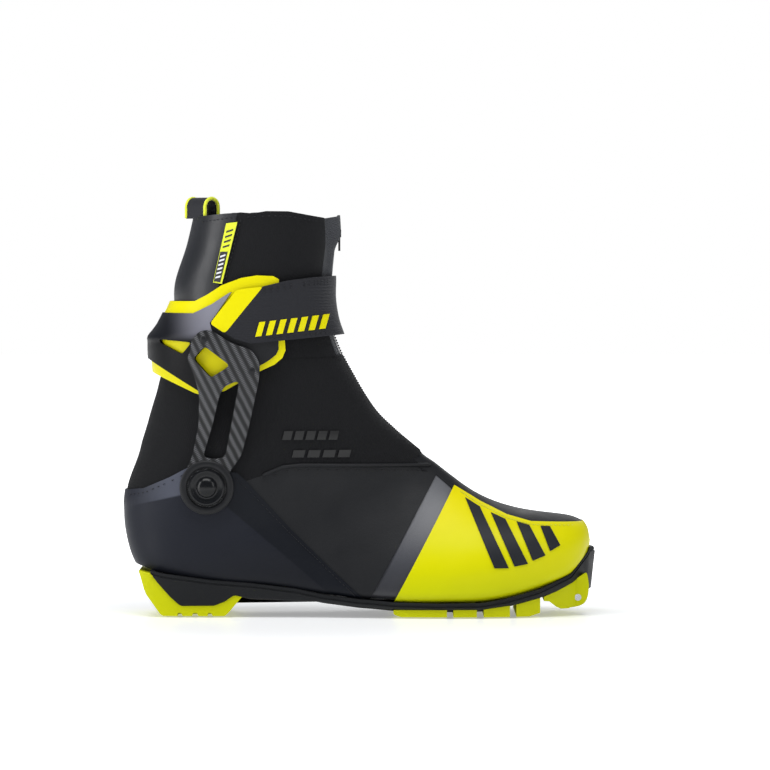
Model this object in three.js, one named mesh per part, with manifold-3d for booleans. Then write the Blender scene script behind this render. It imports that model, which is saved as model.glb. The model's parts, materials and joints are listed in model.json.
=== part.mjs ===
// Cross country skating boot for the right foot, in millimetres. +X points to the toe, +Z up and +Y to
// the inner (medial) side. The origin is on the ground, in the middle of the boot's footprint. The
// soft upper and the hinged cuff are both patches of one smooth form each, cut by the seams that the
// real panels meet at.
import * as THREE from "three";
import { mergeVertices } from "three/addons/utils/BufferGeometryUtils.js";
import Module from "manifold-3d";

const wasm = await Module();
wasm.setup();

// ---- Driving dimensions ---------------------------------------------------------------------
const PIVOT = { x: -95, z: 81 }; // the cuff's hinge axis, through both ankle bolts
const GAP = 0.4; // between neighbouring pieces
const FINE = { columns: 26, step: 1 }; // facets of a form: how many round it, and how many stations apart
const COARSE = { columns: 18, step: 1 };
const SKIN = { outer: 0, inner: 2 }; // depths of the outer panels' two faces below the form's surface
const STIFFENER = { outer: 2.5, inner: 4.1 }; // toe box, heel cup and lasting board
const LINING = { outer: 4.9, inner: 7.4, facets: COARSE }; // lining and footbed
const TOE_SWING = { from: 30, to: 145, shift: 7 }; // the last curves inwards over this stretch
const FACET_TOLERANCE = 0.1; // facets flatter than this are joined
const SIDES = { lateral: -1, medial: 1 }; // the sign of y on each side of the boot

// ---- Materials ------------------------------------------------------------------------------
function finish(color, roughness, metalness = 0) {
  return new THREE.MeshStandardMaterial({ color, roughness, metalness });
}
const GRAPHITE = finish(0x2b2d33, 0.35);
const NAVY = finish(0x24262e, 0.45);
const BLACK_PANEL = finish(0x1c1d20, 0.55);
const SOFTSHELL = finish(0x141517, 0.9);
const GREY_BAND = finish(0x3b3d47, 0.4);
const YELLOW = finish(0xdfe600, 0.4);
const RUBBER_YELLOW = finish(0xd3dc0a, 0.6);
const CARRIER_BLACK = finish(0x17181a, 0.6);
const LINING_GREY = finish(0x2e3033, 0.95);
const WEBBING = finish(0x1b1c24, 0.85);
const CARBON = finish(0x3a3b3e, 0.3);
const STEEL = finish(0xb9bcc0, 0.3, 0.9);
const CORD_YELLOW = finish(0xcfe03a, 0.8);
const FOAM = finish(0x50545a, 0.95);

// ---- Forms: smooth shapes lofted through side-view sections ---------------------------------
// A station is one section plane seen edge-on from the side: its front point, its back (or sole)
// point, its half width, how far along it the widest place is, and how square its front and back ends
// are.
function station(front, back, halfWidth, widestAt = 0.5, frontPower = 2.2, backPower = 2.3) {
  return [...front, ...back, halfWidth, widestAt, frontPower, backPower];
}

const FOOT_STATIONS = [
  station([-18.5, 256], [-104, 256], 40),
  station([-17, 234], [-109.5, 232], 41),
  station([-18.8, 213], [-117, 208], 41.3),
  station([-18.6, 192], [-117.5, 188], 41),
  station([-12, 169.5], [-121, 166.5], 40),
  station([-1.3, 148.7], [-128, 143.5], 39.2),
  station([10.7, 129.2], [-134.2, 121], 38.5, 0.52),
  station([23.3, 116.6], [-140.5, 99.5], 38, 0.58),
  station([32.1, 109], [-147.6, 78], 37, 0.64, 2.1, 2.2),
  station([39.1, 103.3], [-147.6, 53], 36.5, 0.68, 2.0, 2.3),
  station([44.7, 98.3], [-139.5, 30], 36, 0.72, 1.9, 2.8),
  station([49.8, 94.3], [-121, 22.5], 36, 0.74, 1.8, 4),
  station([54.8, 90.4], [-90.7, 19], 36, 0.76, 1.8, 5.5),
  station([60.5, 86.1], [-59.2, 17.6], 37, 0.76, 1.8, 6.5),
  station([66.2, 81.9], [-27.7, 13.4], 39.5, 0.76, 1.8, 7),
  station([73.1, 77.5], [0.6, 9.8], 43.5, 0.76, 1.85, 7),
  station([81.3, 73.4], [25.8, 8.3], 47, 0.75, 1.9, 7),
  station([90.7, 69.9], [51, 7.9], 49, 0.73, 2.0, 6.5),
  station([101.4, 67.1], [76.2, 8.1], 48.5, 0.7, 2.1, 6),
  station([112.8, 65.2], [98.3, 11.4], 45.5, 0.67, 2.2, 5),
  station([123.5, 63.9], [117.2, 16.6], 39.5, 0.64, 2.3, 4),
  station([132.9, 62.4], [130.4, 21], 32, 0.6, 2.3, 3.2),
  station([139.9, 59.4], [139.2, 27.3], 22.5, 0.56, 2.2, 2.6),
  station([143.7, 54.3], [144.0, 35.5], 12, 0.52, 2.1, 2.2),
  station([145.0, 48.6], [145.2, 43.5], 3, 0.5, 2.0, 2.0),
];

const CUFF_STATIONS = [
  station([-16.5, 221], [-118.5, 219], 45.6),
  station([-15.6, 206], [-120.5, 204], 46.1),
  station([-15, 195.5], [-122.6, 195.3], 46.6),
  station([-13.2, 185.2], [-128.6, 183.3], 47),
  station([-9.8, 175.8], [-133.3, 173.9], 47),
  station([-5.5, 165], [-133.7, 162.5], 46.5),
  station([-3.5, 153.5], [-132.7, 150.6], 45.6),
  station([2, 142], [-129.8, 139.9], 44.6),
  station([7, 131], [-126.6, 129.2], 43.8),
];

function swing(x) {
  const t = THREE.MathUtils.clamp((x - TOE_SWING.from) / (TOE_SWING.to - TOE_SWING.from), 0, 1.1);
  return TOE_SWING.shift * t * t;
}

class Form {
  constructor(stations, closedTip = false) {
    this.stations = stations;
    this.closedTip = closedTip;
    this.last = stations.length - 1;
  }

  // The station at a fractional place along the loft, by a Catmull-Rom curve through each of its values.
  section(place) {
    const u = THREE.MathUtils.clamp(place, 0, this.last);
    const i = Math.min(Math.floor(u), this.last - 1);
    const t = u - i;
    const pick = (k) => this.stations[THREE.MathUtils.clamp(k, 0, this.last)];
    const [a, b, c, d] = [pick(i - 1), pick(i), pick(i + 1), pick(i + 2)];
    const [fx, fz, bx, bz, halfWidth, widestAt, frontPower, backPower] = b.map(
      (_, k) =>
        0.5 *
        (2 * b[k] +
          (c[k] - a[k]) * t +
          (2 * a[k] - 5 * b[k] + 4 * c[k] - d[k]) * t * t +
          (3 * b[k] - a[k] - 3 * c[k] + d[k]) * t * t * t),
    );
    const front = new THREE.Vector2(fx, fz);
    const back = new THREE.Vector2(bx, bz);
    const along = back.clone().sub(front);
    const length = along.length();
    along.normalize();
    const middle = front.clone().addScaledVector(along, widestAt * length);
    return { front, back, along, middle, length, halfWidth, widestAt, frontPower, backPower };
  }

  // The place whose front point lies at x.
  placeOfFront(x) {
    let place = this.last / 6;
    while (this.section(place).front.x < x) place += 0.02;
    return place;
  }

  // Where along the loft the core of a given depth ends: a closed tip draws back with the depth.
  endPlace(depth) {
    if (!this.closedTip) return this.last;
    let place = this.last;
    while (this.section(place).middle.x > this.section(this.last).middle.x - depth) place -= 0.02;
    return place;
  }

  // A point on the form: angle 0 is the front, a quarter turn the lateral side, a half turn the back.
  point(place, angle, depth = 0) {
    const s = this.section(place);
    const c = Math.cos(angle);
    const power = c >= 0 ? s.frontPower : s.backPower;
    const reach = (c >= 0 ? s.widestAt : 1 - s.widestAt) * s.length - depth;
    const run = -Math.sign(c) * Math.max(reach, 0.2) * Math.abs(c) ** (2 / power);
    const aside = Math.max(s.halfWidth - depth, 0.2) * Math.abs(Math.sin(angle)) ** (2 / power);
    const x = s.middle.x + s.along.x * run;
    const z = s.middle.y + s.along.y * run;
    return new THREE.Vector3(x, swing(x) - Math.sign(Math.sin(angle)) * aside, z);
  }

  // The place and angle of the lateral surface point seen at x, z.
  find([x, z]) {
    const offside = (u) => {
      const s = this.section(u);
      return s.along.x * (z - s.front.y) - s.along.y * (x - s.front.x);
    };
    let [low, high] = [0, this.last];
    const rising = offside(high) > offside(low);
    for (let i = 0; i < 40; i++) {
      const middle = (low + high) / 2;
      if (offside(middle) > 0 === rising) high = middle;
      else low = middle;
    }
    const place = (low + high) / 2;
    const s = this.section(place);
    const run = (x - s.middle.x) * s.along.x + (z - s.middle.y) * s.along.y;
    const reach = (run < 0 ? s.widestAt : 1 - s.widestAt) * s.length;
    const power = run < 0 ? s.frontPower : s.backPower;
    const c = -Math.sign(run) * Math.min(Math.abs(run) / reach, 1) ** (power / 2);
    return [place, Math.acos(c)];
  }
}

const foot = new Form(FOOT_STATIONS, true);
const cuffForm = new Form(CUFF_STATIONS);

// ---- Booleans -------------------------------------------------------------------------------
function solidOf(geometry) {
  const bare = geometry.clone();
  bare.deleteAttribute("normal");
  bare.deleteAttribute("uv");
  const merged = mergeVertices(bare, 1e-3);
  return new wasm.Manifold(
    new wasm.Mesh({
      numProp: 3,
      vertProperties: merged.attributes.position.array,
      triVerts: new Uint32Array(merged.index.array),
    }),
  );
}

// The mesh of a solid's one body, without the empty slivers that a cut through a facet's edge can leave.
function geometryOf(solid) {
  const bodies = solid.simplify(FACET_TOLERANCE).decompose();
  const mesh = bodies.reduce((a, b) => (a.volume() > b.volume() ? a : b)).getMesh();
  const geometry = new THREE.BufferGeometry();
  geometry.setAttribute("position", new THREE.BufferAttribute(new Float32Array(mesh.vertProperties), 3));
  geometry.setIndex(new THREE.BufferAttribute(new Uint32Array(mesh.triVerts), 1));
  return geometry;
}

const minus = (solid, ...tools) => tools.reduce((body, tool) => body.subtract(tool), solid);
const plus = (...solids) => solids.reduce((a, b) => a.add(b));

// ---- Plain shapes ---------------------------------------------------------------------------
const REACH = 80; // past either side of the boot

// A side-view outline carried across the boot, from one y to another.
function across(outline, fromY = -REACH, toY = REACH) {
  const shape = new THREE.Shape(outline.map(([x, z]) => new THREE.Vector2(x, z)));
  const geometry = new THREE.ExtrudeGeometry(shape, { depth: toY - fromY, bevelEnabled: false });
  geometry.rotateX(Math.PI / 2);
  geometry.translate(0, toY, 0);
  return solidOf(geometry);
}

// A plan outline carried upwards, from one z to another.
function upwards(outline, fromZ, toZ) {
  const shape = new THREE.Shape(outline.map(([x, y]) => new THREE.Vector2(x, y)));
  const geometry = new THREE.ExtrudeGeometry(shape, { depth: toZ - fromZ, bevelEnabled: false });
  geometry.translate(0, 0, fromZ);
  return solidOf(geometry);
}

// A round bar along Y, from one y to another.
function crossBar(radius, x, z, fromY, toY, segments = 24) {
  const geometry = new THREE.CylinderGeometry(radius, radius, toY - fromY, segments);
  geometry.translate(x, (fromY + toY) / 2, z);
  return solidOf(geometry);
}

function block(from, to) {
  const size = to.map((v, k) => v - from[k]);
  const geometry = new THREE.BoxGeometry(...size);
  geometry.translate(...from.map((v, k) => v + size[k] / 2));
  return solidOf(geometry);
}

// A thin cut along a side-view line, through the whole boot.
function seam(line, width = GAP) {
  return plus(
    ...line.slice(1).map(([x, z], i) => {
      const [fx, fz] = line[i];
      const length = Math.hypot(x - fx, z - fz);
      const [ux, uz] = [(x - fx) / length, (z - fz) / length];
      const w = width / 2;
      const end = (px, pz, along, aside) => [px + ux * along - uz * aside, pz + uz * along + ux * aside];
      return across([end(fx, fz, -w, -w), end(x, z, w, -w), end(x, z, w, w), end(fx, fz, -w, w)]);
    }),
  );
}

// ---- Solids and walls of a form -------------------------------------------------------------
// The solid of a form up to a depth below its surface, with flat ends. Every depth has its facets at
// the same places and angles, so the walls of neighbouring layers lie face to face.
const loftCache = new Map();
function core(form, depth, { columns, step } = FINE) {
  const key = `${form.last}/${depth}/${columns}`;
  if (loftCache.has(key)) return loftCache.get(key);
  const end = form.endPlace(depth);
  const places = [];
  for (let u = 0; u < end - 0.2; u += step) places.push(u);
  places.push(end);
  const positions = [];
  const triangles = [];
  places.forEach((place) => {
    for (let i = 0; i < columns; i++) {
      positions.push(form.point(place, (2 * Math.PI * (i + 0.5)) / columns, depth));
    }
  });
  const id = (j, i) => j * columns + (i % columns);
  for (let j = 0; j < places.length - 1; j++) {
    for (let i = 0; i < columns; i++) {
      triangles.push(id(j, i), id(j, i + 1), id(j + 1, i + 1), id(j, i), id(j + 1, i + 1), id(j + 1, i));
    }
  }
  [0, places.length - 1].forEach((j) => {
    const middle = new THREE.Vector3();
    for (let i = 0; i < columns; i++) middle.addScaledVector(positions[id(j, i)], 1 / columns);
    positions.push(middle);
    const hub = positions.length - 1;
    for (let i = 0; i < columns; i++) {
      triangles.push(...(j ? [hub, id(j, i), id(j, i + 1)] : [hub, id(j, i + 1), id(j, i)]));
    }
  });
  const geometry = new THREE.BufferGeometry();
  const flatPositions = positions.flatMap((p) => p.toArray());
  geometry.setAttribute("position", new THREE.Float32BufferAttribute(flatPositions, 3));
  geometry.setIndex(triangles);
  const solid = solidOf(geometry);
  const outward = solid.volume() > 0 ? solid : solidOf(geometry.setIndex(flipped(triangles)));
  loftCache.set(key, outward);
  return outward;
}

function flipped(triangles) {
  return triangles.map((_, i) => triangles[i % 3 === 0 ? i : i % 3 === 1 ? i + 1 : i - 1]);
}

const wall = (form, { outer, inner, facets }) => core(form, outer, facets).subtract(core(form, inner, facets));

// ---- The boot's assembly --------------------------------------------------------------------
const boot = new THREE.Group();

function add(name, solid, material) {
  const mesh = new THREE.Mesh(geometryOf(solid), material);
  mesh.name = name;
  boot.add(mesh);
}

// Both copies of a piece that is made the same way on the two sides of the boot.
const HALVES = { lateral: [-REACH, -GAP / 2], medial: [GAP / 2, REACH] };
function addPair(name, make, material) {
  Object.entries(SIDES).forEach(([word, side]) => add(`${name}_${word}`, make(side, HALVES[word]), material));
}

// ---- Seams between the foot's panels, in the side view --------------------------------------
const SOLE_LINE = [
  [-160, 38],
  [-136.5, 31],
  [-123, 27.2],
  [-91.6, 23],
  [-68.3, 21.3],
  [-40.3, 18],
  [-22.9, 14.4],
  [-0.8, 11.6],
  [8, 11],
  [21.5, 9.8],
  [50, 9.2],
  [77.2, 9.6],
  [92.3, 12.2],
  [112.4, 17.6],
  [132.5, 26.4],
  [145.2, 41.5],
  [160, 44],
];
const COUNTER_LINE = [
  [-0.8, 11.6],
  [-70.6, 83.7],
];
const COUNTER_TOP = [
  [-70.6, 83.7],
  [-78, 90],
  [-107.4, 93],
  [-118.4, 87.1],
  [-134.8, 80],
  [-160, 77],
];
const PANEL_TOP = [
  [-70.6, 83.7],
  [-60.2, 88.3],
  [-47.4, 93.6],
  [-35.7, 94.7],
  [5, 94.2],
  [45, 94],
];
const BAND_REAR = [
  [8, 11],
  [45, 94],
];
const BAND_FRONT = [
  [21.5, 9.8],
  [59.7, 81.3],
];
const STRIP_LINE = [
  [35, 104],
  [45, 94],
  [59.7, 81.3],
  [76, 71.5],
  [92.3, 63.6],
  [107.4, 59.4],
  [124, 58.8],
  [137.5, 58.4],
  [160, 58],
];
const ANKLE_LINE = [
  [-170, 108],
  [-70, 116],
  [25, 121],
]; // inside: the top of the foot's lining
const SHAFT_LINE = [
  [-170, 158],
  [30, 164],
]; // the seam between the ankle cover and the collar, under the strap and cuff
const COLLAR_TOP = [
  [-150, 247],
  [-104.5, 249.5],
  [-84, 251.5],
  [-58, 252.6],
  [-25.5, 250],
  [-10, 247],
];
const between = (line, fromX, toX) => line.filter(([x]) => x >= fromX - 0.01 && x <= toX + 0.01);
const back = (line) => [...line].reverse();
const raised = (line, by) => line.map(([x, z]) => [x, z + by]);

const PANEL_SEAMS = [
  SOLE_LINE,
  COUNTER_LINE,
  COUNTER_TOP,
  PANEL_TOP,
  BAND_REAR,
  BAND_FRONT,
  STRIP_LINE,
  SHAFT_LINE,
];
const skin = minus(wall(foot, SKIN), ...PANEL_SEAMS.map((line) => seam(line)));

// ---- Outer panels of the foot ---------------------------------------------------------------
const BOLT_RADIUS = 4.6;
const BUSH_RADIUS = 6.4;
const NUT = { radius: 9, thickness: 1.4 };
const boltHole = (radius) => crossBar(radius, PIVOT.x, PIVOT.z, -REACH, REACH);

const HEEL_OUTLINE = [...between(SOLE_LINE, -160, -0.8), ...COUNTER_TOP.slice(0, -1), [-160, 77]];
add("heel_counter", skin.intersect(across(HEEL_OUTLINE)).subtract(boltHole(BOLT_RADIUS + GAP)), NAVY);

const SIDE_OUTLINE = [[-0.8, 11.6], [8, 11], ...back(PANEL_TOP)];
addPair("side_panel", (_, half) => skin.intersect(across(SIDE_OUTLINE, ...half)), BLACK_PANEL);

const BAND_OUTLINE = [[8, 11], [21.5, 9.8], [59.7, 81.3], [45, 94]];
addPair("flex_band", (_, half) => skin.intersect(across(BAND_OUTLINE, ...half)), GREY_BAND);

const OVERLAY_OUTLINE = [...between(SOLE_LINE, 21.5, 160), ...back(between(STRIP_LINE, 59.7, 160))];
add("toe_overlay", skin.intersect(across(OVERLAY_OUTLINE)), YELLOW);

const STRIP_OUTLINE = [...between(STRIP_LINE, 35, 160), [160, 120], [42, 112]];
add("instep_strip", skin.intersect(across(STRIP_OUTLINE)), BLACK_PANEL);

// ---- Boards and stiffeners inside the foot --------------------------------------------------
const BOARD_RISE = 1.5; // the board's edge lies this much above the sole's seam
const FOOTBED_RISE = 4; // and the footbed's edge this much
const boardLine = raised(SOLE_LINE, BOARD_RISE);
const footbedLine = raised(SOLE_LINE, FOOTBED_RISE);
const stiff = minus(wall(foot, STIFFENER), seam(boardLine));
const TOE_BOX_OUTLINE = [...between(boardLine, 77.2, 160), [160, 90], [92, 90], [70, 11]];
add("toe_box", stiff.intersect(across(TOE_BOX_OUTLINE)), BLACK_PANEL);

const HEEL_CUP_OUTLINE = [
  ...between(boardLine, -160, -68.3),
  [-62, 52],
  [-78, 86],
  [-107.4, 89.5],
  [-118.4, 84],
  [-134.8, 77],
  [-160, 74],
];
add("heel_cup", stiff.intersect(across(HEEL_CUP_OUTLINE)).subtract(boltHole(NUT.radius + GAP)), FOAM);

const BOARD_OUTLINE = [...between(boardLine, -123, 112.4), [112.4, 0], [-123, 0]];
add("lasting_board", stiff.intersect(across(BOARD_OUTLINE)), FOAM);

const FOOTBED_OUTLINE = [...between(footbedLine, -123, 112.4), [112.4, 0], [-123, 0]];
const LACED = [[-40, 170], [-40, 158], [10, 100], [58, 62], [74, 62], [74, 100], [20, 170]];
const LACED_HALF = 19; // half the gap in the lining that the tongue closes
const lining = minus(
  wall(foot, LINING),
  seam(ANKLE_LINE),
  seam(SHAFT_LINE),
  seam(footbedLine),
  across(LACED, -LACED_HALF, LACED_HALF),
);
add("footbed", lining.intersect(across(FOOTBED_OUTLINE)), FOAM);

const FOOT_LINING_OUTLINE = [...footbedLine, [160, 121], ...back(ANKLE_LINE)];
add(
  "foot_lining",
  lining.intersect(across(FOOT_LINING_OUTLINE)).subtract(boltHole(NUT.radius + GAP)),
  LINING_GREY,
);
add("ankle_lining", lining.intersect(across([...ANKLE_LINE, ...back(SHAFT_LINE)])), LINING_GREY);

// ---- Tongue, lace and zip -------------------------------------------------------------------
const ZIP_HALF = 4;
const OPENING_HALF = 17; // half the gap between the collar's two front flaps
const frontOf = (halfWidth, outline) => across(outline, -halfWidth, halfWidth);
const FRONT_OF_LEG = [[-70, 300], [-45, 160], [0, 90], [35, 60], [160, 60], [160, 300]];
const ZIP_RECESS = 0.5; // the zip's face lies this far below the cover's
const ANKLE_ZIP_OUTLINE = [
  [-30, 170],
  [-30, 130],
  [0, 95],
  [39, 95],
  [37.5, 101],
  [60, 130],
  [60, 170],
];
const ANKLE_OUTLINE = [
  ...COUNTER_TOP.slice().reverse(),
  ...PANEL_TOP.slice(1),
  [35, 104],
  [42, 112],
  [60, 130],
  ...back(SHAFT_LINE),
];
const ankleBand = skin.intersect(across(ANKLE_OUTLINE));
const zipFace = wall(foot, { outer: 0, inner: ZIP_RECESS });
add("ankle_cover", ankleBand.subtract(frontOf(ZIP_HALF + GAP, FRONT_OF_LEG)), SOFTSHELL);
add(
  "ankle_zip",
  ankleBand.intersect(across(ANKLE_ZIP_OUTLINE, -ZIP_HALF, ZIP_HALF)).subtract(zipFace),
  BLACK_PANEL,
);

const COLLAR_OUTLINE = [...SHAFT_LINE, [30, 246], ...back(COLLAR_TOP), [-160, 247]];
const collarBand = skin.intersect(across(COLLAR_OUTLINE));
const LABEL_SEAM = [[-74.5, 256], [-93, 180], [-100, 150]];
const COLLAR_FRONT = [[-45, 150], [-45, 300], [60, 300], [60, 150]];
const shaft = collarBand.subtract(frontOf(OPENING_HALF, COLLAR_FRONT));
const REAR_OUTLINE = [[-180, 140], ...back(LABEL_SEAM), [-180, 260]];
const FRONT_OUTLINE = [...LABEL_SEAM, [60, 150], [60, 260]];
const shaftCut = shaft.subtract(seam(LABEL_SEAM));
add("collar_rear", shaftCut.intersect(across(REAR_OUTLINE)), GRAPHITE);
addPair("collar_front", (_, half) => shaftCut.intersect(across(FRONT_OUTLINE, ...half)), SOFTSHELL);

const GUSSET = { outer: 0.5, inner: 1.8 };
const gusset = wall(foot, GUSSET)
  .intersect(across(COLLAR_OUTLINE))
  .subtract(seam(SHAFT_LINE))
  .intersect(frontOf(OPENING_HALF - GAP, COLLAR_FRONT))
  .subtract(frontOf(ZIP_HALF, COLLAR_FRONT));
addPair("collar_gusset", (_, half) => gusset.intersect(across(COLLAR_OUTLINE, ...half)), LINING_GREY);
add(
  "collar_zip",
  collarBand.intersect(frontOf(ZIP_HALF - GAP, COLLAR_FRONT)).subtract(zipFace),
  BLACK_PANEL,
);

const LINING_TOP = raised(COLLAR_TOP, 1.5);
const COLLAR_LINING_OUTLINE = [...SHAFT_LINE, [30, 247], ...back(LINING_TOP), [-160, 248]];
const COLLAR_PAD = { outer: 2.5, inner: 7.4 };
const collarLining = wall(foot, COLLAR_PAD)
  .intersect(across(COLLAR_LINING_OUTLINE))
  .subtract(seam(SHAFT_LINE));
add("collar_lining", collarLining, LINING_GREY);

const TONGUE = { outer: 9.7, inner: 11.8, facets: COARSE };
const TONGUE_HALF = 22;
const TONGUE_OUTLINE = [[-55, 244], [-50, 170], [-20, 110], [40, 40], [72, 40], [72, 100], [20, 246]];
const tongue = wall(foot, TONGUE).intersect(frontOf(TONGUE_HALF, TONGUE_OUTLINE));
add("tongue", tongue, LINING_GREY);

const EYESTAY = { inner: 11, outer: 18 };
const EYESTAY_OUTLINE = [[-10, 128], [12, 90], [50, 60], [64, 66], [66, 96], [20, 128]];
const eyestays = wall(foot, STIFFENER).intersect(across(EYESTAY_OUTLINE));
addPair(
  "eyestay",
  (side) => {
    const edges = [side * EYESTAY.inner, side * EYESTAY.outer].sort((a, b) => a - b);
    return eyestays.intersect(across(EYESTAY_OUTLINE, ...edges));
  },
  BLACK_PANEL,
);

// The lace zigzags between the eyestays, over the tongue and up to its lock.
const LACE = { diameter: 2, depth: 6, half: 13, crossings: 7, fromX: 58, toX: 18 };
// The point at a depth under the instep's middle line, a distance to one side of it.
function overTongue(x, aside, depth) {
  const at = foot.placeOfFront(x);
  const s = foot.section(at);
  const angle = Math.asin((Math.abs(aside) / (s.halfWidth - depth)) ** (s.frontPower / 2));
  return foot.point(at, aside < 0 ? angle : -angle, depth);
}
function lace() {
  const aside = [LACE.half, 0, -LACE.half, 0];
  const points = Array.from({ length: 2 * LACE.crossings + 1 }, (_, i) =>
    overTongue(
      LACE.fromX + ((LACE.toX - LACE.fromX) * i) / (2 * LACE.crossings),
      aside[i % 4],
      LACE.depth,
    ),
  );
  const path = new THREE.CatmullRomCurve3(points, false, "catmullrom", 0.3);
  const sides = Array.from({ length: 6 }, (_, i) => {
    const a = (i * Math.PI) / 3;
    return new THREE.Vector2((LACE.diameter / 2) * Math.cos(a), (LACE.diameter / 2) * Math.sin(a));
  });
  return solidOf(
    new THREE.ExtrudeGeometry(new THREE.Shape(sides), { steps: 42, extrudePath: path, bevelEnabled: false }),
  );
}
add("lace", lace(), CORD_YELLOW);

// The zip's slider hangs on the collar zip, with its pull on a pin across its bridge.
const SLIDER = { z: 238, height: 9, width: 6.5, depth: 2.6, clearance: 0.5 };
const PULL = { length: 11, width: 4.4, thickness: 1.3, pin: 1.4, notch: 2.4, beside: 1.2 };
const sliderFace = foot.section(foot.find([-20, SLIDER.z])[0]).front.x + SLIDER.clearance;
const eyeZ = SLIDER.z + PULL.beside;
const eyeX = sliderFace + SLIDER.depth + PULL.beside;
const slider = plus(
  block(
    [sliderFace, -SLIDER.width / 2, SLIDER.z - SLIDER.height / 2],
    [sliderFace + SLIDER.depth, SLIDER.width / 2, SLIDER.z + SLIDER.height / 2],
  ),
  block([sliderFace + 1, -0.7, eyeZ - 2.4], [eyeX + 1.2, 0.7, eyeZ + 2.4]),
).subtract(crossBar(PULL.pin / 2 + 0.35, eyeX, eyeZ, -5, 5, 12));
add("zip_slider", slider, STEEL);
const pullFork = block(
  [eyeX - PULL.thickness / 2, -PULL.width / 2, eyeZ - PULL.length],
  [eyeX + PULL.thickness / 2, PULL.width / 2, eyeZ + PULL.pin / 2],
);
const pullNotch = block([eyeX - 2, -PULL.notch / 2, eyeZ - 3], [eyeX + 2, PULL.notch / 2, eyeZ + 2]);
add("zip_pull", plus(pullFork.subtract(pullNotch), crossBar(PULL.pin / 2, eyeX, eyeZ, -2, 2, 12)), STEEL);

// ---- Sole -----------------------------------------------------------------------------------
const SOLE_EDGE = 1.2; // how far the sole stands out beyond the upper
function planOutline(extra) {
  const rows = [[-149, 12], [-146, 20], [-140, 27], [-128, 33], [-110, 35.5], [-70, 35], [-25, 38], [0, 41]];
  rows.push([25, 45], [50, 48], [75, 48], [97, 45], [115, 39], [130, 29], [139, 20], [145, 11], [148, 3]);
  const lateral = rows.map(([x, y]) => [x, swing(x) - y - extra]);
  const medial = back(rows).map(([x, y]) => [x, swing(x) + y + extra]);
  return [...lateral, ...medial];
}
const HOLLOW = core(foot, -0.4);
const CARRIER_LOW = [
  [-135.6, 27],
  [-131, 22],
  [-120.5, 13],
  [-112, 8],
  [-93.6, 7.5],
  [-86.5, 10],
  [-78, 14.3],
  [-68, 11],
  [-28.4, 9.8],
  [0, 7],
  [26, 5],
  [76, 5],
  [97.3, 8],
  [113, 12],
  [123.5, 15.5],
  [134, 20.5],
  [141.3, 27.2],
];
const CARRIER_OUTLINE = [
  ...CARRIER_LOW,
  [142.2, 22],
  [144, 15],
  [147.5, 15],
  [149, 24],
  [149.3, 34],
  [145.2, 42.5],
  ...back(between(SOLE_LINE, -123, 132.5)),
  [-137.9, 27.7],
];
const soleBlank = upwards(planOutline(SOLE_EDGE), -1, 60);
const carrier = across(CARRIER_OUTLINE).intersect(soleBlank).subtract(HOLLOW);
add("outsole_carrier", carrier, CARRIER_BLACK);

const TREAD_EDGE = -0.5;
const ABOVE_TREAD = [...CARRIER_LOW, [150, 27.2], [150, 80], [-160, 80], [-160, 27]];
const treadBlank = upwards(planOutline(TREAD_EDGE), -1, 60).subtract(across(raised(ABOVE_TREAD, -GAP)));
const HEEL_TREAD = [
  [-137.2, 26.6],
  [-129, 21.5],
  [-118, 12.5],
  [-110, 7.5],
  [-93.6, 7.5],
  [-78, 13.5],
  [-72.4, 13.1],
  [-81.8, 1.9],
  [-84, 0],
  [-125, 0],
  [-133, 12.9],
  [-134.6, 16.5],
];
const HEEL_NOTCH = { at: [-112, -102.5, -93.3], half: 1.4, depth: 2.1 };
const heelNotches = HEEL_NOTCH.at.map((x) =>
  block([x - HEEL_NOTCH.half, -REACH, -1], [x + HEEL_NOTCH.half, REACH, HEEL_NOTCH.depth]),
);
add("heel_tread", minus(across(HEEL_TREAD).intersect(treadBlank), ...heelNotches), RUBBER_YELLOW);

// Two grooves that the ski's guide ribs run in part the forefoot tread into three.
const GROOVE = { inner: 9, outer: 18 };
const FOREFOOT_TREAD = [
  [21, 4.4],
  [21.5, 1.5],
  [26, 0],
  [106, 0],
  [112.5, 2],
  [113, 11.3],
  [97.3, 7.4],
  [76, 4.5],
  [26, 4.5],
];
const LUG_GAP = { at: [56.5, 75.4, 95.8], half: 2, depth: 3 };
const treadGaps = LUG_GAP.at.map((x) =>
  block([x - LUG_GAP.half, -REACH, -1], [x + LUG_GAP.half, REACH, LUG_GAP.depth]),
);
const forefoot = minus(across(FOREFOOT_TREAD).intersect(treadBlank), ...treadGaps);
const TREAD_STRIPS = {
  lateral: [-REACH, -GROOVE.outer],
  centre: [-GROOVE.inner, GROOVE.inner],
  medial: [GROOVE.outer, REACH],
};
Object.entries(TREAD_STRIPS).forEach(([word, [from, to]]) =>
  add(`forefoot_tread_${word}`, forefoot.intersect(block([0, from, -5], [160, to, 60])), RUBBER_YELLOW),
);

const BAR = { x: 137, z: 11, radius: 2.1, halfLength: 17, slotHalf: 14, slotRear: 5, slotRise: 5 };
const TOE_TREAD = [
  [115, 9.5],
  [118.5, 9],
  [123, 5.4],
  [126, 4],
  [131, 4],
  [142.9, 8.3],
  [143.6, 14.6],
  [141.8, 22],
  [141, 26],
  [134, 20],
  [123.5, 15],
  [115, 12],
];
const barSlot = block([BAR.x - BAR.slotRear, -BAR.slotHalf, 0], [160, BAR.slotHalf, BAR.z + BAR.slotRise]);
const toeTread = across(TOE_TREAD)
  .intersect(treadBlank)
  .subtract(barSlot)
  .subtract(crossBar(BAR.radius + GAP, BAR.x, BAR.z, -BAR.halfLength - GAP, BAR.halfLength + GAP));
add("toe_tread", toeTread, RUBBER_YELLOW);
add("binding_bar", crossBar(BAR.radius, BAR.x, BAR.z, -BAR.halfLength, BAR.halfLength, 20), STEEL);

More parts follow.
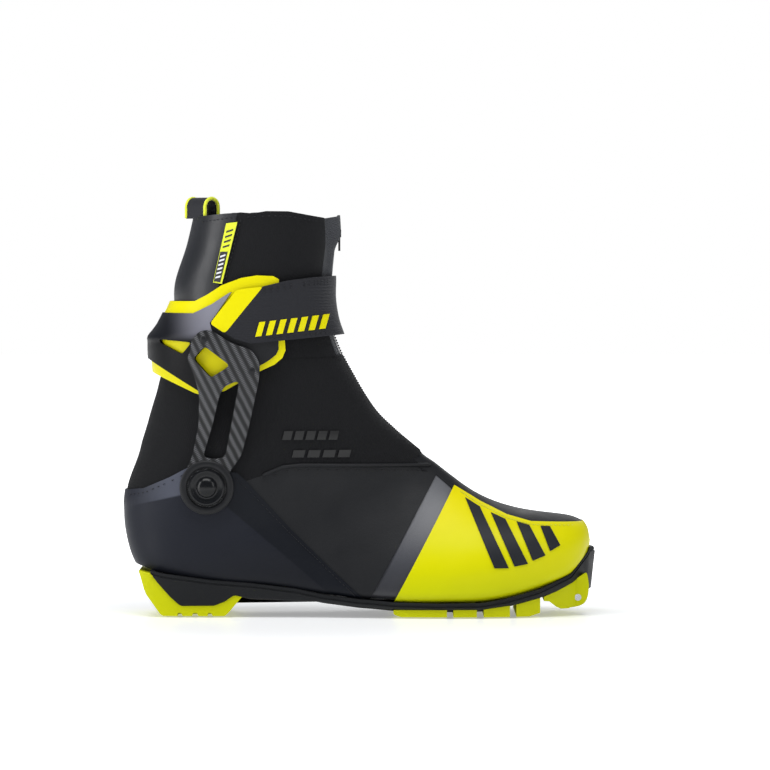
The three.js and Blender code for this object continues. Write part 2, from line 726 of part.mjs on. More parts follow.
// ---- Hinged cuff ----------------------------------------------------------------------------
const LINER = { outer: 2.5, inner: 4 };
const SPOILER = { outer: 0, inner: 2.1 };
const LINER_OUTLINE = [
  [-165, 150],
  [-132.4, 151.8],
  [-115, 144],
  [-100.5, 139.2],
  [-85, 141],
  [-61.4, 153.5],
  [-51, 156.6],
  [-46.9, 160.7],
  [-44.8, 166],
  [-48.2, 210.4],
  [-55.8, 213],
  [-63.3, 213],
  [-77.8, 210.7],
  [-87.9, 206.6],
  [-102.7, 197.2],
  [-120.3, 196.6],
  [-165, 196],
];
add("cuff_liner", wall(cuffForm, LINER).intersect(across(LINER_OUTLINE)), YELLOW);

const SPOILER_OUTLINE = [
  [-165, 161.5],
  [-132.4, 160.6],
  [-115, 150],
  [-104, 141.5],
  [-90, 141],
  [-84, 160],
  [-92.7, 183.5],
  [-76.5, 204.5],
  [-80.3, 202.9],
  [-96.7, 193.4],
  [-106.2, 189.6],
  [-122.5, 190.3],
  [-165, 190.5],
];
const WINDOWS = [
  [[-125, 172.8], [-104.8, 171.5], [-112.1, 164.2], [-125, 171]],
  [[-95.3, 169.2], [-81.2, 157.1], [-92.7, 149.6], [-103.2, 162.6]],
];
add(
  "cuff_spoiler",
  minus(wall(cuffForm, SPOILER).intersect(across(SPOILER_OUTLINE)), ...WINDOWS.map((w) => across(w))),
  GRAPHITE,
);

// ---- Strap over the instep ------------------------------------------------------------------
const STRAP = { outer: 0, inner: 1.7 };
const PATCH_REAR = [[-76.1, 204.2], [-92.4, 183.5]];
const STRAP_REAR = [[-59.7, 206.2], [-83.3, 177.2]];
const STRAP_HINGE_X = -38;
const STRAP_TOP = [[-59.7, 206.2], [-44.4, 209.8], [-10, 212]];
const STRAP_LOW = [[-83.3, 177.2], [-70.9, 170.1], [-9, 176.4]];
const strapWall = wall(cuffForm, STRAP);
const PATCH_OUTLINE = [...PATCH_REAR, ...back(STRAP_REAR)];
add("strap_anchor", strapWall.intersect(across(PATCH_OUTLINE, ...HALVES.lateral)), YELLOW);
const STRAP_OUTLINE = [...back(STRAP_TOP), ...STRAP_LOW];
const strapBand = strapWall.intersect(across(STRAP_OUTLINE)).subtract(seam(STRAP_REAR));
const upright = (fromX, toX) => [[fromX, 100], [toX, 100], [toX, 260], [fromX, 260]];
const rootArea = upright(-120, STRAP_HINGE_X - GAP / 2);
add("strap_base", strapBand.intersect(across(rootArea, ...HALVES.lateral)), NAVY);
const frontBand = strapBand.intersect(across(upright(STRAP_HINGE_X + GAP / 2, 60)));
const medialBand = strapBand.intersect(across(upright(-60, STRAP_HINGE_X + GAP / 2), ...HALVES.medial));
const strapSweep = plus(frontBand, medialBand);
const TAB_SEAM = [[-48, 150], [-50, 230]];
const tabCut = across([...TAB_SEAM, [-120, 230], [-120, 150]], 0, REACH);
add("strap", strapSweep.subtract(seam(TAB_SEAM)).subtract(tabCut), NAVY);
const TAB_OUTLINE = [[-66, 178], [-66, 202], [-40, 208], [-40, 174]];
const strapTab = strapWall
  .intersect(across(STRAP_OUTLINE, ...HALVES.medial))
  .subtract(seam(TAB_SEAM))
  .intersect(tabCut)
  .intersect(across(TAB_OUTLINE));
add("strap_tab", strapTab, WEBBING);

// ---- Carbon links from the ankle bolts to the cuff ------------------------------------------
const LINK = { thickness: 2.4, clearance: 0.6, bossRadius: 16.4, flatTop: 99, cuffStart: 128 };
const ROOT_HALF = Math.max(
  ...Array.from({ length: 24 }, (_, i) => {
    const a = (i * Math.PI) / 12;
    const at = [PIVOT.x + LINK.bossRadius * Math.cos(a), PIVOT.z + LINK.bossRadius * Math.sin(a)];
    return Math.abs(foot.point(...foot.find(at)).y);
  }),
  Math.abs(foot.point(...foot.find([PIVOT.x, PIVOT.z])).y),
);

// How far out the link's inner face lies at a side-view point: flat over the bolt, then out to the cuff.
function linkReach(x, z) {
  const flat = ROOT_HALF + LINK.clearance;
  const onCuff = Math.abs(cuffForm.point(...cuffForm.find([x, z])).y) + LINK.clearance;
  return THREE.MathUtils.lerp(flat, onCuff, THREE.MathUtils.smoothstep(z, LINK.flatTop, LINK.cuffStart));
}

function linkSheet(side) {
  const xs = Array.from({ length: 9 }, (_, i) => -116 + i * 7.2);
  const zs = [60, 80, 99, 106, 113, 120, 128, 140, 152, 164, 176, 184];
  const positions = [];
  [0, LINK.thickness].forEach((out) =>
    zs.forEach((z) =>
      xs.forEach((x) => {
        positions.push(new THREE.Vector3(x, side * (linkReach(x, Math.max(z, LINK.flatTop)) + out), z));
      }),
    ),
  );
  const half = xs.length * zs.length;
  const id = (j, i) => j * xs.length + i;
  const triangles = [];
  const quad = (a, b, c, d) => triangles.push(a, b, c, a, c, d);
  for (let j = 0; j < zs.length - 1; j++) {
    for (let i = 0; i < xs.length - 1; i++) {
      quad(id(j, i), id(j, i + 1), id(j + 1, i + 1), id(j + 1, i));
      quad(half + id(j, i), half + id(j + 1, i), half + id(j + 1, i + 1), half + id(j, i + 1));
    }
  }
  for (let i = 0; i < xs.length - 1; i++) {
    const j = zs.length - 1;
    quad(id(0, i), half + id(0, i), half + id(0, i + 1), id(0, i + 1));
    quad(id(j, i), id(j, i + 1), half + id(j, i + 1), half + id(j, i));
  }
  for (let j = 0; j < zs.length - 1; j++) {
    const i = xs.length - 1;
    quad(id(j, 0), id(j + 1, 0), half + id(j + 1, 0), half + id(j, 0));
    quad(id(j, i), half + id(j, i), half + id(j + 1, i), id(j + 1, i));
  }
  const geometry = new THREE.BufferGeometry();
  const flatPositions = positions.flatMap((p) => p.toArray());
  geometry.setAttribute("position", new THREE.Float32BufferAttribute(flatPositions, 3));
  geometry.setIndex(triangles);
  const solid = solidOf(geometry);
  return solid.volume() > 0 ? solid : solidOf(geometry.setIndex(flipped(triangles)));
}

const LINK_FRAME = [
  [-111.4, 81],
  [-110, 95],
  [-103.5, 128],
  [-102.4, 173.3],
  [-92.9, 179.6],
  [-80.3, 170.1],
  [-63.3, 160],
  [-61.7, 153.7],
  [-64.6, 136.1],
  [-78.6, 81],
];
const LINK_OPENING = [
  [-94.5, 103],
  [-93, 142],
  [-86, 156],
  [-75.5, 147],
  [-77, 133],
  [-86.5, 103],
];
addPair(
  "link",
  (side) => {
    const frame = minus(across(LINK_FRAME), across(LINK_OPENING), across(WINDOWS[1]));
    const boss = crossBar(LINK.bossRadius, PIVOT.x, PIVOT.z, -REACH, REACH, 32);
    return plus(frame, boss).intersect(linkSheet(side)).subtract(boltHole(BUSH_RADIUS + GAP));
  },
  CARBON,
);

// ---- Ankle bolts: a flanged nut in the heel, a ring in the link and a cap screwed on outside ----
const CAP = { radius: 11.3, thickness: 2.2, dome: 5.4, domeHeight: 1.6 };
function sideBar(side, radius, from, to, segments = 24, { x, z } = PIVOT) {
  return crossBar(radius, x, z, Math.min(side * from, side * to), Math.max(side * from, side * to), segments);
}
const LINK_INNER = ROOT_HALF + LINK.clearance;
const LINK_OUTER = LINK_INNER + LINK.thickness;
const NUT_INSET = 1.6; // from the heel counter's inner face to the nut's flange
const NUT_FLANGE = Math.abs(foot.point(...foot.find([PIVOT.x, PIVOT.z])).y) - SKIN.inner - NUT_INSET;
addPair(
  "pivot_nut",
  (side) =>
    plus(
      sideBar(side, NUT.radius, NUT_FLANGE - NUT.thickness, NUT_FLANGE),
      sideBar(side, BOLT_RADIUS, NUT_FLANGE - NUT.thickness, LINK_OUTER - 0.4),
    ).subtract(sideBar(side, 2.4, NUT_FLANGE, LINK_OUTER + 1, 16)),
  STEEL,
);
addPair(
  "pivot_bush",
  (side) =>
    sideBar(side, BUSH_RADIUS, LINK_INNER, LINK_OUTER).subtract(
      sideBar(side, BOLT_RADIUS + GAP, LINK_INNER - 1, LINK_OUTER + 1),
    ),
  FOAM,
);
addPair(
  "pivot_cap",
  (side) =>
    plus(
      sideBar(side, CAP.radius, LINK_OUTER + GAP, LINK_OUTER + GAP + CAP.thickness, 32),
      sideBar(side, CAP.dome, LINK_OUTER + GAP, LINK_OUTER + GAP + CAP.thickness + CAP.domeHeight, 20),
      sideBar(side, 2, NUT_FLANGE + 1, LINK_OUTER + 1, 12),
    ),
  GRAPHITE,
);

// Two rivets hold each link's head to the cuff.
const RIVETS = { head: { x: -96.5, z: 173.4 }, arm: { x: -66.8, z: 153.8 } };
const RIVET = { radius: 2.3, height: 1.1 };
Object.entries(SIDES).forEach(([word, side]) =>
  Object.entries(RIVETS).forEach(([place, at]) => {
    const from = linkReach(at.x, at.z) + LINK.thickness + 2 * GAP;
    add(`rivet_${place}_${word}`, sideBar(side, RIVET.radius, from, from + RIVET.height, 14, at), STEEL);
  }),
);

// ---- Pull loop and label at the collar ------------------------------------------------------
const LOOP = { width: 17, span: 13, height: 13.6, thickness: 1.7, turn: Math.PI / 4 };
const LOOP_FOOT = [-98.5, -12.5, 250.4];
function pullLoop() {
  const arch = (inset) => {
    const half = LOOP.span / 2 - inset;
    const top = LOOP.height - LOOP.span / 2;
    const round = Array.from({ length: 9 }, (_, i) => [
      half * Math.cos((i * Math.PI) / 8),
      top + half * Math.sin((i * Math.PI) / 8),
    ]);
    return [[half, inset ? 1.2 : 0], ...round, [-half, inset ? 1.2 : 0]];
  };
  const shape = new THREE.Shape(arch(0).map(([x, z]) => new THREE.Vector2(x, z)));
  const hole = new THREE.Path(arch(LOOP.thickness).map(([x, z]) => new THREE.Vector2(x, z)));
  shape.holes.push(hole);
  const geometry = new THREE.ExtrudeGeometry(shape, { depth: LOOP.width, bevelEnabled: false });
  geometry.translate(0, 0, -LOOP.width / 2);
  geometry.rotateX(Math.PI / 2);
  geometry.rotateZ(LOOP.turn);
  geometry.translate(...LOOP_FOOT);
  return solidOf(geometry);
}
const collarRoom = wall(foot, { outer: -1, inner: 8 }).intersect(across(COLLAR_LINING_OUTLINE));
add("pull_loop", pullLoop().subtract(collarRoom), WEBBING);

const LABEL = [
  [-82.2, 244.4],
  [-75.3, 246.3],
  [-83.6, 213],
  [-89.4, 214.2],
];
const LABEL_FACE = { outer: -0.9, inner: -0.3 };
addPair("label", (_, half) => wall(foot, LABEL_FACE).intersect(across(LABEL, ...half)), YELLOW);

// The whole boot is moved so that its footprint's middle is at the origin.
const box = new THREE.Box3().setFromObject(boot);
boot.position.set(-(box.min.x + box.max.x) / 2, -(box.min.y + box.max.y) / 2, -box.min.z);

export default boot;
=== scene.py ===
"""Cross country skating boot, right foot: the visible pieces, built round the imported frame, in metres.

The sections follow the boot as it is put together: sole, boards, lasted upper, ankle, collar, cuff, strap.
"""
import json
import math

import bmesh
import bpy
from mathutils import Matrix, Vector, kdtree, noise


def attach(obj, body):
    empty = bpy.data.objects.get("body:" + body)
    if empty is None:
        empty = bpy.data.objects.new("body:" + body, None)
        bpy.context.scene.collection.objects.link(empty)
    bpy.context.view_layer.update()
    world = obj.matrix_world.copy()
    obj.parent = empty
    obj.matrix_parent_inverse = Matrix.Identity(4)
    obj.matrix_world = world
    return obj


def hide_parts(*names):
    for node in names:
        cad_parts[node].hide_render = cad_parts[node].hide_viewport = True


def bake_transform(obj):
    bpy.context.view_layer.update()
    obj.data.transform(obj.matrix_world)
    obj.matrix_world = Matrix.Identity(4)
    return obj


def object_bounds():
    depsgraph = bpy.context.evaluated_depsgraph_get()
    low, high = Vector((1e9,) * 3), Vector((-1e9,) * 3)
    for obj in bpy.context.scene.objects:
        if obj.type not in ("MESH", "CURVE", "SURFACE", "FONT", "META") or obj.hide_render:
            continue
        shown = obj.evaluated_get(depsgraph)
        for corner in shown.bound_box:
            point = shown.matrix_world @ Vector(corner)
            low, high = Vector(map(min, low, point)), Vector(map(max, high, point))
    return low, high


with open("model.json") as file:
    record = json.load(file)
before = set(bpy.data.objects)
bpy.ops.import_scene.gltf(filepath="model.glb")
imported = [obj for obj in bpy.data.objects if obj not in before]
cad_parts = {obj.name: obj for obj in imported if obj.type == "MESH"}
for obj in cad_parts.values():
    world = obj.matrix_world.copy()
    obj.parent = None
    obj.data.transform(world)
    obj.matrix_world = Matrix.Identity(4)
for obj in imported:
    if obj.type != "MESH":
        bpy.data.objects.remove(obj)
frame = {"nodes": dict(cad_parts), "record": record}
cad_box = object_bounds()

# ---- Camera, light and floor ---------------------------------------------------------------------
# A long lens level with the ankle, seen square from the boot's outer side, under four large soft lights and
# over a flat pale floor, with a pale backdrop behind.
MM = 0.001
low, high = [Vector(corner) for corner in cad_box]
middle = (low + high) / 2
VIEW_WIDTH = 0.485
CAMERA_DISTANCE = 3.2
CAMERA_RISE = math.radians(1.5)
camera_data = bpy.data.cameras.new("camera")
camera = bpy.data.objects.new("camera", camera_data)
bpy.context.scene.collection.objects.link(camera)
bpy.context.scene.camera = camera
camera_data.lens = camera_data.sensor_width * CAMERA_DISTANCE / VIEW_WIDTH
AIM = Vector((middle.x + 0.0156, 0, low.z + 0.1438))
camera.location = AIM + CAMERA_DISTANCE * Vector((0, -math.cos(CAMERA_RISE), math.sin(CAMERA_RISE)))
camera.rotation_euler = (math.pi / 2 - CAMERA_RISE, 0, 0)


def soft_light(name, place, size, power):
    light = bpy.data.lights.new(name, "AREA")
    light.shape = "RECTANGLE"
    light.size, light.size_y = size
    light.energy = power
    lamp = bpy.data.objects.new(name, light)
    lamp.location = AIM + Vector(place)
    lamp.rotation_euler = (-Vector(place)).to_track_quat("-Z", "Y").to_euler()
    bpy.context.scene.collection.objects.link(lamp)


soft_light("light_top", (-0.15, -0.55, 1.5), (1.6, 1.0), 24)
soft_light("light_left", (-1.6, -0.7, 0.5), (0.7, 1.4), 14)
soft_light("light_right", (1.5, -1.3, 0.8), (0.7, 1.3), 8)
soft_light("light_back", (0.2, 1.6, 0.9), (1.6, 1.0), 10)
bpy.context.scene.view_settings.view_transform = "Standard"

world = bpy.data.worlds.new("studio")
bpy.context.scene.world = world
world.use_nodes = True
ambient = world.node_tree.nodes["Background"]
ambient.inputs["Color"].default_value = (0.9, 0.94, 1, 1)
ambient.inputs["Strength"].default_value = 0.22
backdrop = world.node_tree.nodes.new("ShaderNodeBackground")
backdrop.inputs["Color"].default_value = (1, 1, 1, 1)
seen = world.node_tree.nodes.new("ShaderNodeLightPath")
either = world.node_tree.nodes.new("ShaderNodeMixShader")
world.node_tree.links.new(seen.outputs["Is Camera Ray"], either.inputs["Fac"])
world.node_tree.links.new(ambient.outputs[0], either.inputs[1])
world.node_tree.links.new(backdrop.outputs[0], either.inputs[2])
world.node_tree.links.new(either.outputs[0], world.node_tree.nodes["World Output"].inputs["Surface"])

floor_mesh = bmesh.new()
bmesh.ops.create_grid(floor_mesh, x_segments=1, y_segments=1, size=8)
bmesh.ops.translate(floor_mesh, verts=floor_mesh.verts, vec=(0, 0, low.z - 0.0004))
floor_data = bpy.data.meshes.new("floor")
floor_mesh.to_mesh(floor_data)
floor = bpy.data.objects.new("floor", floor_data)
bpy.context.scene.collection.objects.link(floor)


# A finish starts from the principled shader; each section then adds its own grain, weave or gradient.
def finish(name, color, roughness, metallic=0.0, coat=0.0, sheen=0.0, specular=0.5):
    material = bpy.data.materials.new(name)
    material.use_nodes = True
    shader = material.node_tree.nodes["Principled BSDF"]
    shader.inputs["Base Color"].default_value = (*color, 1)
    shader.inputs["Roughness"].default_value = roughness
    shader.inputs["Metallic"].default_value = metallic
    shader.inputs["Coat Weight"].default_value = coat
    shader.inputs["Coat Roughness"].default_value = 0.12
    shader.inputs["Sheen Weight"].default_value = sheen
    shader.inputs["Sheen Roughness"].default_value = 0.5
    shader.inputs["Specular IOR Level"].default_value = specular
    return material


def node(material, kind, **values):
    made = material.node_tree.nodes.new(kind)
    for key, value in values.items():
        if key in made.inputs:
            made.inputs[key].default_value = value
        else:
            setattr(made, key, value)
    return made


def join(material, source, target):
    material.node_tree.links.new(source, target)


def shader_of(material):
    return material.node_tree.nodes["Principled BSDF"]


# The object's own coordinates, turned or stretched, in metres.
def coordinates(material, scale=(1, 1, 1), rotation=(0, 0, 0), location=(0, 0, 0), source="Object"):
    texture = node(material, "ShaderNodeTexCoord")
    mapping = node(material, "ShaderNodeMapping", Scale=scale, Rotation=rotation, Location=location)
    join(material, texture.outputs[source], mapping.inputs["Vector"])
    return mapping.outputs["Vector"]


# Grain of a given size, as bump, stacked on any bump the material already has.
def grain(material, size, depth, texture="ShaderNodeTexNoise", stretch=(1, 1, 1), source="Object"):
    share = 1 / size
    vector = coordinates(material, [share * s for s in stretch], source=source)
    pattern = node(material, texture)
    if texture == "ShaderNodeTexNoise":
        pattern.inputs["Scale"].default_value = 1
        pattern.inputs["Detail"].default_value = 3
        out = pattern.outputs["Fac"]
    else:
        pattern.inputs["Scale"].default_value = 1
        out = pattern.outputs[0]
    join(material, vector, pattern.inputs["Vector"])
    relief(material, out, depth)
    return out


def relief(material, height, depth):
    shader = shader_of(material)
    bump = node(material, "ShaderNodeBump", Strength=1.0, Distance=depth)
    earlier = shader.inputs["Normal"].links
    if earlier:
        join(material, earlier[0].from_socket, bump.inputs["Normal"])
    join(material, height, bump.inputs["Height"])
    join(material, bump.outputs["Normal"], shader.inputs["Normal"])


pale = finish("studio_floor", (0.85, 0.86, 0.87), 0.3, specular=0.3)
grain(pale, 0.01, 0.00001)
floor_reach = node(pale, "ShaderNodeVectorMath", operation="LENGTH")
glow = node(pale, "ShaderNodeMapRange", interpolation_type="SMOOTHSTEP")
glow.inputs["From Min"].default_value = 0.14
glow.inputs["From Max"].default_value = 0.55
glow.inputs["To Min"].default_value = 0.3
glow.inputs["To Max"].default_value = 1.1
join(pale, coordinates(pale, (1, 1, 1)), floor_reach.inputs[0])
join(pale, floor_reach.outputs["Value"], glow.inputs["Value"])
join(pale, glow.outputs["Result"], shader_of(pale).inputs["Emission Color"])
shader_of(pale).inputs["Emission Strength"].default_value = 1.0
floor_data.materials.append(pale)

# ---- The last: the smooth form that the whole upper is pulled over -------------------------------
# Every soft panel lies on one form, lofted through section planes that are seen edge-on from the side,
# from the collar's rim down round the heel and on to the toe. The cuff has a shorter form of its own,
# further out. A section: front x, z, back x, z, half width, where along it the widest place is, and
# how square its two ends are.
FOOT_SECTIONS = [
    (-18.5, 256, -104, 256, 40, 0.5, 2.2, 2.3),
    (-17, 234, -109.5, 232, 41, 0.5, 2.2, 2.3),
    (-18.8, 213, -117, 208, 41.3, 0.5, 2.2, 2.3),
    (-18.6, 192, -117.5, 188, 41, 0.5, 2.2, 2.3),
    (-12, 169.5, -121, 166.5, 40, 0.5, 2.2, 2.3),
    (-1.3, 148.7, -128, 143.5, 39.2, 0.5, 2.2, 2.3),
    (10.7, 129.2, -134.2, 121, 38.5, 0.52, 2.2, 2.3),
    (23.3, 116.6, -140.5, 99.5, 38, 0.58, 2.2, 2.3),
    (32.1, 109, -147.6, 78, 37, 0.64, 2.1, 2.2),
    (39.1, 103.3, -147.6, 53, 36.5, 0.68, 2.0, 2.3),
    (44.7, 98.3, -139.5, 30, 36, 0.72, 1.9, 2.8),
    (49.8, 94.3, -121, 22.5, 36, 0.74, 1.8, 4),
    (54.8, 90.4, -90.7, 19, 36, 0.76, 1.8, 5.5),
    (60.5, 86.1, -59.2, 17.6, 37, 0.76, 1.8, 6.5),
    (66.2, 81.9, -27.7, 13.4, 39.5, 0.76, 1.8, 7),
    (73.1, 77.5, 0.6, 9.8, 43.5, 0.76, 1.85, 7),
    (81.3, 73.4, 25.8, 8.3, 47, 0.75, 1.9, 7),
    (90.7, 69.9, 51, 7.9, 49, 0.73, 2.0, 6.5),
    (101.4, 67.1, 76.2, 8.1, 48.5, 0.7, 2.1, 6),
    (112.8, 65.2, 98.3, 11.4, 45.5, 0.67, 2.2, 5),
    (123.5, 63.9, 117.2, 16.6, 39.5, 0.64, 2.3, 4),
    (132.9, 62.4, 130.4, 21, 32, 0.6, 2.3, 3.2),
    (139.9, 59.4, 139.2, 27.3, 22.5, 0.56, 2.2, 2.6),
    (143.7, 54.3, 144.0, 35.5, 12, 0.52, 2.1, 2.2),
    (145.0, 48.6, 145.2, 43.5, 3, 0.5, 2.0, 2.0),
    (145.5, 46.21, 145.5, 46.19, 0.01, 0.5, 2.0, 2.0),
]
BOLT_X, BOLT_Z = -95.0, 81.0
cuff_joint = next(joint for joint in frame["record"]["behaviour"]["joints"] if joint["name"] == "cuff_hinge")
ORIGIN_X = cuff_joint["pos_m"][0] / MM - BOLT_X  # the frame's origin is in the middle of the boot's length
TURN = 40.0  # millimetres of panel for each radian round the leg
LATERAL, MEDIAL = -1, 1


def toe_swing(x):
    reach = min(max((x - 30) / 115, 0), 1.1)
    return 7 * reach * reach


class Form:
    def __init__(self, sections):
        self.sections = sections
        self.last = len(sections) - 1
        self.run = [0.0]
        for i in range(self.last * 4):
            a, b = self.section(i / 4), self.section((i + 1) / 4)
            step = sum(math.hypot(b[k] - a[k], b[k + 1] - a[k + 1]) for k in (0, 2)) / 2
            self.run.append(self.run[-1] + step)

    # The section at a fractional place, by a smooth curve through each of its measures.
    def section(self, place):
        u = min(max(place, 0), self.last)
        i = min(int(u), self.last - 1)
        t = u - i
        a, b, c, d = [self.sections[min(max(i + k, 0), self.last)] for k in (-1, 0, 1, 2)]
        return [
            0.5 * (2 * q + (r - p) * t + (2 * p - 5 * q + 4 * r - s) * t * t + (3 * q - p - 3 * r + s) * t**3)
            for p, q, r, s in zip(a, b, c, d)
        ]

    # The place that lies a distance along the form, and the distance of a place.
    def place(self, distance):
        low_i, high_i = 0, len(self.run) - 1
        while high_i - low_i > 1:
            mid = (low_i + high_i) // 2
            if self.run[mid] > distance:
                high_i = mid
            else:
                low_i = mid
        share = (distance - self.run[low_i]) / (self.run[high_i] - self.run[low_i])
        return (low_i + share) / 4

    def distance(self, place):
        i = min(int(place * 4), len(self.run) - 2)
        return self.run[i] + (self.run[i + 1] - self.run[i]) * (place * 4 - i)

    # A point in millimetres: angle 0 is the front, a quarter turn the outer side, a half turn the back.
    def point(self, place, angle, depth=0.0):
        fx, fz, bx, bz, half_width, widest, front_power, back_power = self.section(place)
        length = math.hypot(bx - fx, bz - fz)
        ux, uz = (bx - fx) / length, (bz - fz) / length
        c, s = math.cos(angle), math.sin(angle)
        power = front_power if c >= 0 else back_power
        reach = max((widest if c >= 0 else 1 - widest) * length - depth, min(0.2, length / 2))
        along = widest * length - math.copysign(reach * abs(c) ** (2 / power), c)
        aside = max(half_width - depth, min(0.2, half_width)) * abs(s) ** (2 / power)
        x = fx + ux * along
        return Vector((x, toe_swing(x) - math.copysign(aside, s), fz + uz * along))

    # The place and angle of the outer side's surface point seen at x, z.
    def find(self, x, z):
        def beyond(u):
            fx, fz, bx, bz = self.section(u)[:4]
            return (bx - fx) * (z - fz) - (bz - fz) * (x - fx)

        low_u, high_u = 0.0, float(self.last)
        rising = beyond(high_u) > beyond(low_u)
        for _ in range(36):
            mid = (low_u + high_u) / 2
            if (beyond(mid) > 0) == rising:
                high_u = mid
            else:
                low_u = mid
        u = (low_u + high_u) / 2
        fx, fz, bx, bz, _, widest, front_power, back_power = self.section(u)
        length = math.hypot(bx - fx, bz - fz)
        along = ((x - fx) * (bx - fx) + (z - fz) * (bz - fz)) / length - widest * length
        power = front_power if along < 0 else back_power
        reach = (widest if along < 0 else 1 - widest) * length
        c = -math.copysign(min(abs(along) / reach, 1) ** (power / 2), along)
        return u, math.acos(c)


foot = Form(FOOT_SECTIONS)


# ---- Outsole carrier -----------------------------------------------------------------------------
# The black moulded sole that carries the rubber and cups the upper. Its rim stands 1.2 mm outside the
# upper and sweeps up over the nose, with a moulded groove that runs just under the rim.
SOLE_LINE = [
    (-160, 38), (-136.5, 31), (-123, 27.2), (-91.6, 23), (-68.3, 21.3), (-40.3, 18), (-22.9, 14.4),
    (-0.8, 11.6), (8, 11), (21.5, 9.8), (50, 9.2), (77.2, 9.6), (92.3, 12.2), (112.4, 17.6),
    (132.5, 26.4), (145.2, 41.5), (160, 44),
]
CARRIER_LOW = [
    (-160, 27), (-130.4, 26.8), (-127, 22.1), (-118, 12.2), (-111.6, 6.6), (-90.4, 6.8), (-84, 9.4),
    (-78, 13.4), (-68, 11), (-28.4, 9.8), (0, 7), (26, 5), (76, 5), (97.3, 8), (113, 12),
    (123.5, 15.5), (134, 20.5), (140.5, 26), (142.2, 22), (144, 15), (152, 15),
]
PLAN_ROWS = [
    (-149, 0), (-148.6, 12), (-146, 20), (-140, 27), (-128, 33), (-110, 35.5), (-70, 35), (-25, 38),
    (0, 41), (25, 45), (50, 48), (75, 48), (97, 45), (115, 39), (130, 29), (139, 20), (145, 11),
    (147.6, 4), (148, 0),
]


def smooth(value, low, high):
    t = min(max((value - low) / (high - low), 0), 1)
    return t * t * (3 - 2 * t)


def height(line, x):
    for (ax, az), (bx, bz) in zip(line, line[1:]):
        if x <= bx:
            return az + (bz - az) * max(x - ax, 0) / (bx - ax)
    return line[-1][1]


# A coarse outline turned into a flowing line, by cutting off its corners a few times over.
def eased(points, times=2, closed=True):
    for _ in range(times):
        pairs = zip(points, points[1:] + points[:1]) if closed else zip(points, points[1:])
        cut = []
        for (ax, ay), (bx, by) in pairs:
            cut += [
                (ax * 0.75 + bx * 0.25, ay * 0.75 + by * 0.25),
                (ax * 0.25 + bx * 0.75, ay * 0.25 + by * 0.75),
            ]
        points = cut if closed else [points[0], *cut[1:-1], points[-1]]
    return points


# The same loop without points that fall on one another.
def spaced(loop, least=0.3):
    kept = []
    for point in loop:
        if not kept or math.dist(point, kept[-1]) > least:
            kept.append(point)
    while math.dist(kept[0], kept[-1]) < least:
        kept.pop()
    return kept


def dense(points, step=2.0):
    walked = [points[0]]
    for (ax, az), (bx, bz) in zip(points, points[1:]):
        count = max(1, round(math.hypot(bx - ax, bz - az) / step))
        walked += [(ax + (bx - ax) * i / count, az + (bz - az) * i / count) for i in range(1, count + 1)]
    return walked


# The footprint, offset outwards, as a closed dense line.
def footprint(extra, step=2.0):
    rows = [(x, toe_swing(x) - y) for x, y in PLAN_ROWS] + [
        (x, toe_swing(x) + y) for x, y in PLAN_ROWS[-2:0:-1]
    ]
    around = eased(rows, 3)
    line = dense(around + around[:1], step)[:-1]
    line = spaced(line, step * 0.5)
    moved = []
    for i, (x, y) in enumerate(line):
        (ax, ay), (bx, by) = line[i - 1], line[(i + 1) % len(line)]
        length = math.hypot(bx - ax, by - ay)
        moved.append((x + extra * (by - ay) / length, y - extra * (bx - ax) / length))
    return moved


def as_piece(name, bm, sharp=math.radians(50)):
    for face in bm.faces:
        face.smooth = True
    for border in bm.edges:
        if border.is_manifold and border.calc_face_angle(0) > sharp:
            border.smooth = False
    data = bpy.data.meshes.new(name)
    bm.to_mesh(data)
    bm.free()
    piece = bpy.data.objects.new(name, data)
    bpy.context.scene.collection.objects.link(piece)
    return piece


# Rings of equal count, joined one to the next, and closed at both ends.
def stacked(name, rings, sharp=math.radians(40)):
    bm = bmesh.new()
    loops = []
    for ring in rings:
        verts = [bm.verts.new(Vector(p) * MM + Vector((ORIGIN_X * MM, 0, 0))) for p in ring]
        loops.append([bm.edges.new(pair) for pair in zip(verts, verts[1:] + verts[:1])])
    for a, b in zip(loops, loops[1:]):
        bmesh.ops.bridge_loops(bm, edges=a + b)
    for end in (loops[0], loops[-1]):
        bmesh.ops.triangle_fill(bm, use_beauty=True, edges=end)
    bmesh.ops.recalc_face_normals(bm, faces=bm.faces[:])
    return as_piece(name, bm, sharp)


# The carrier's nose narrows to a lip at its lower front.
def nose(x, y, z):
    ahead = smooth(x, 142, 148.5)
    return x - ahead * (0.16 * max(33 - z, 0) + 0.3 * max(z - 37, 0)), y, z


CARRIER_REAR = -130.6
carrier_rings = []
for inwards, drop in [
    (9, 6), (3.2, 2.4), (3, 0.6), (1.6, 0), (0.7, 0.1), (0.15, 0.5), (0, 1.2), (0, 1.9), (0.55, 2.2),
    (0.55, 2.7), (0, 3.1),
]:
    ring = []
    for x, y in footprint(1.4 - inwards):
        x = max(x, CARRIER_REAR + inwards)
        top = height(SOLE_LINE, x) if x < 145 else 42.2
        floor_z = height(CARRIER_LOW, x)
        ring.append((x, y, max(top - drop, floor_z + 0.45 * (top - floor_z) * (3.2 - drop) / 3.2)))
    carrier_rings.append([nose(*p) for p in ring])
for inwards, rise in [(0.5, 0.9), (1.4, 0.2), (2.6, 0)]:
    ring = []
    for x, y in footprint(1.4 - inwards):
        x = max(x, CARRIER_REAR + inwards)
        floor_z = height(CARRIER_LOW, x)
        top = height(SOLE_LINE, x) if x < 145 else 42.2
        ring.append((x, y, min(floor_z + rise, top - 0.3)))
    carrier_rings.append([nose(*p) for p in ring])
carrier = stacked("sole_carrier", carrier_rings)
sole_black = finish("sole_black", (0.0065, 0.0072, 0.0085), 0.55, specular=0.2)
grain(sole_black, 0.0006, 0.00006, "ShaderNodeTexVoronoi")


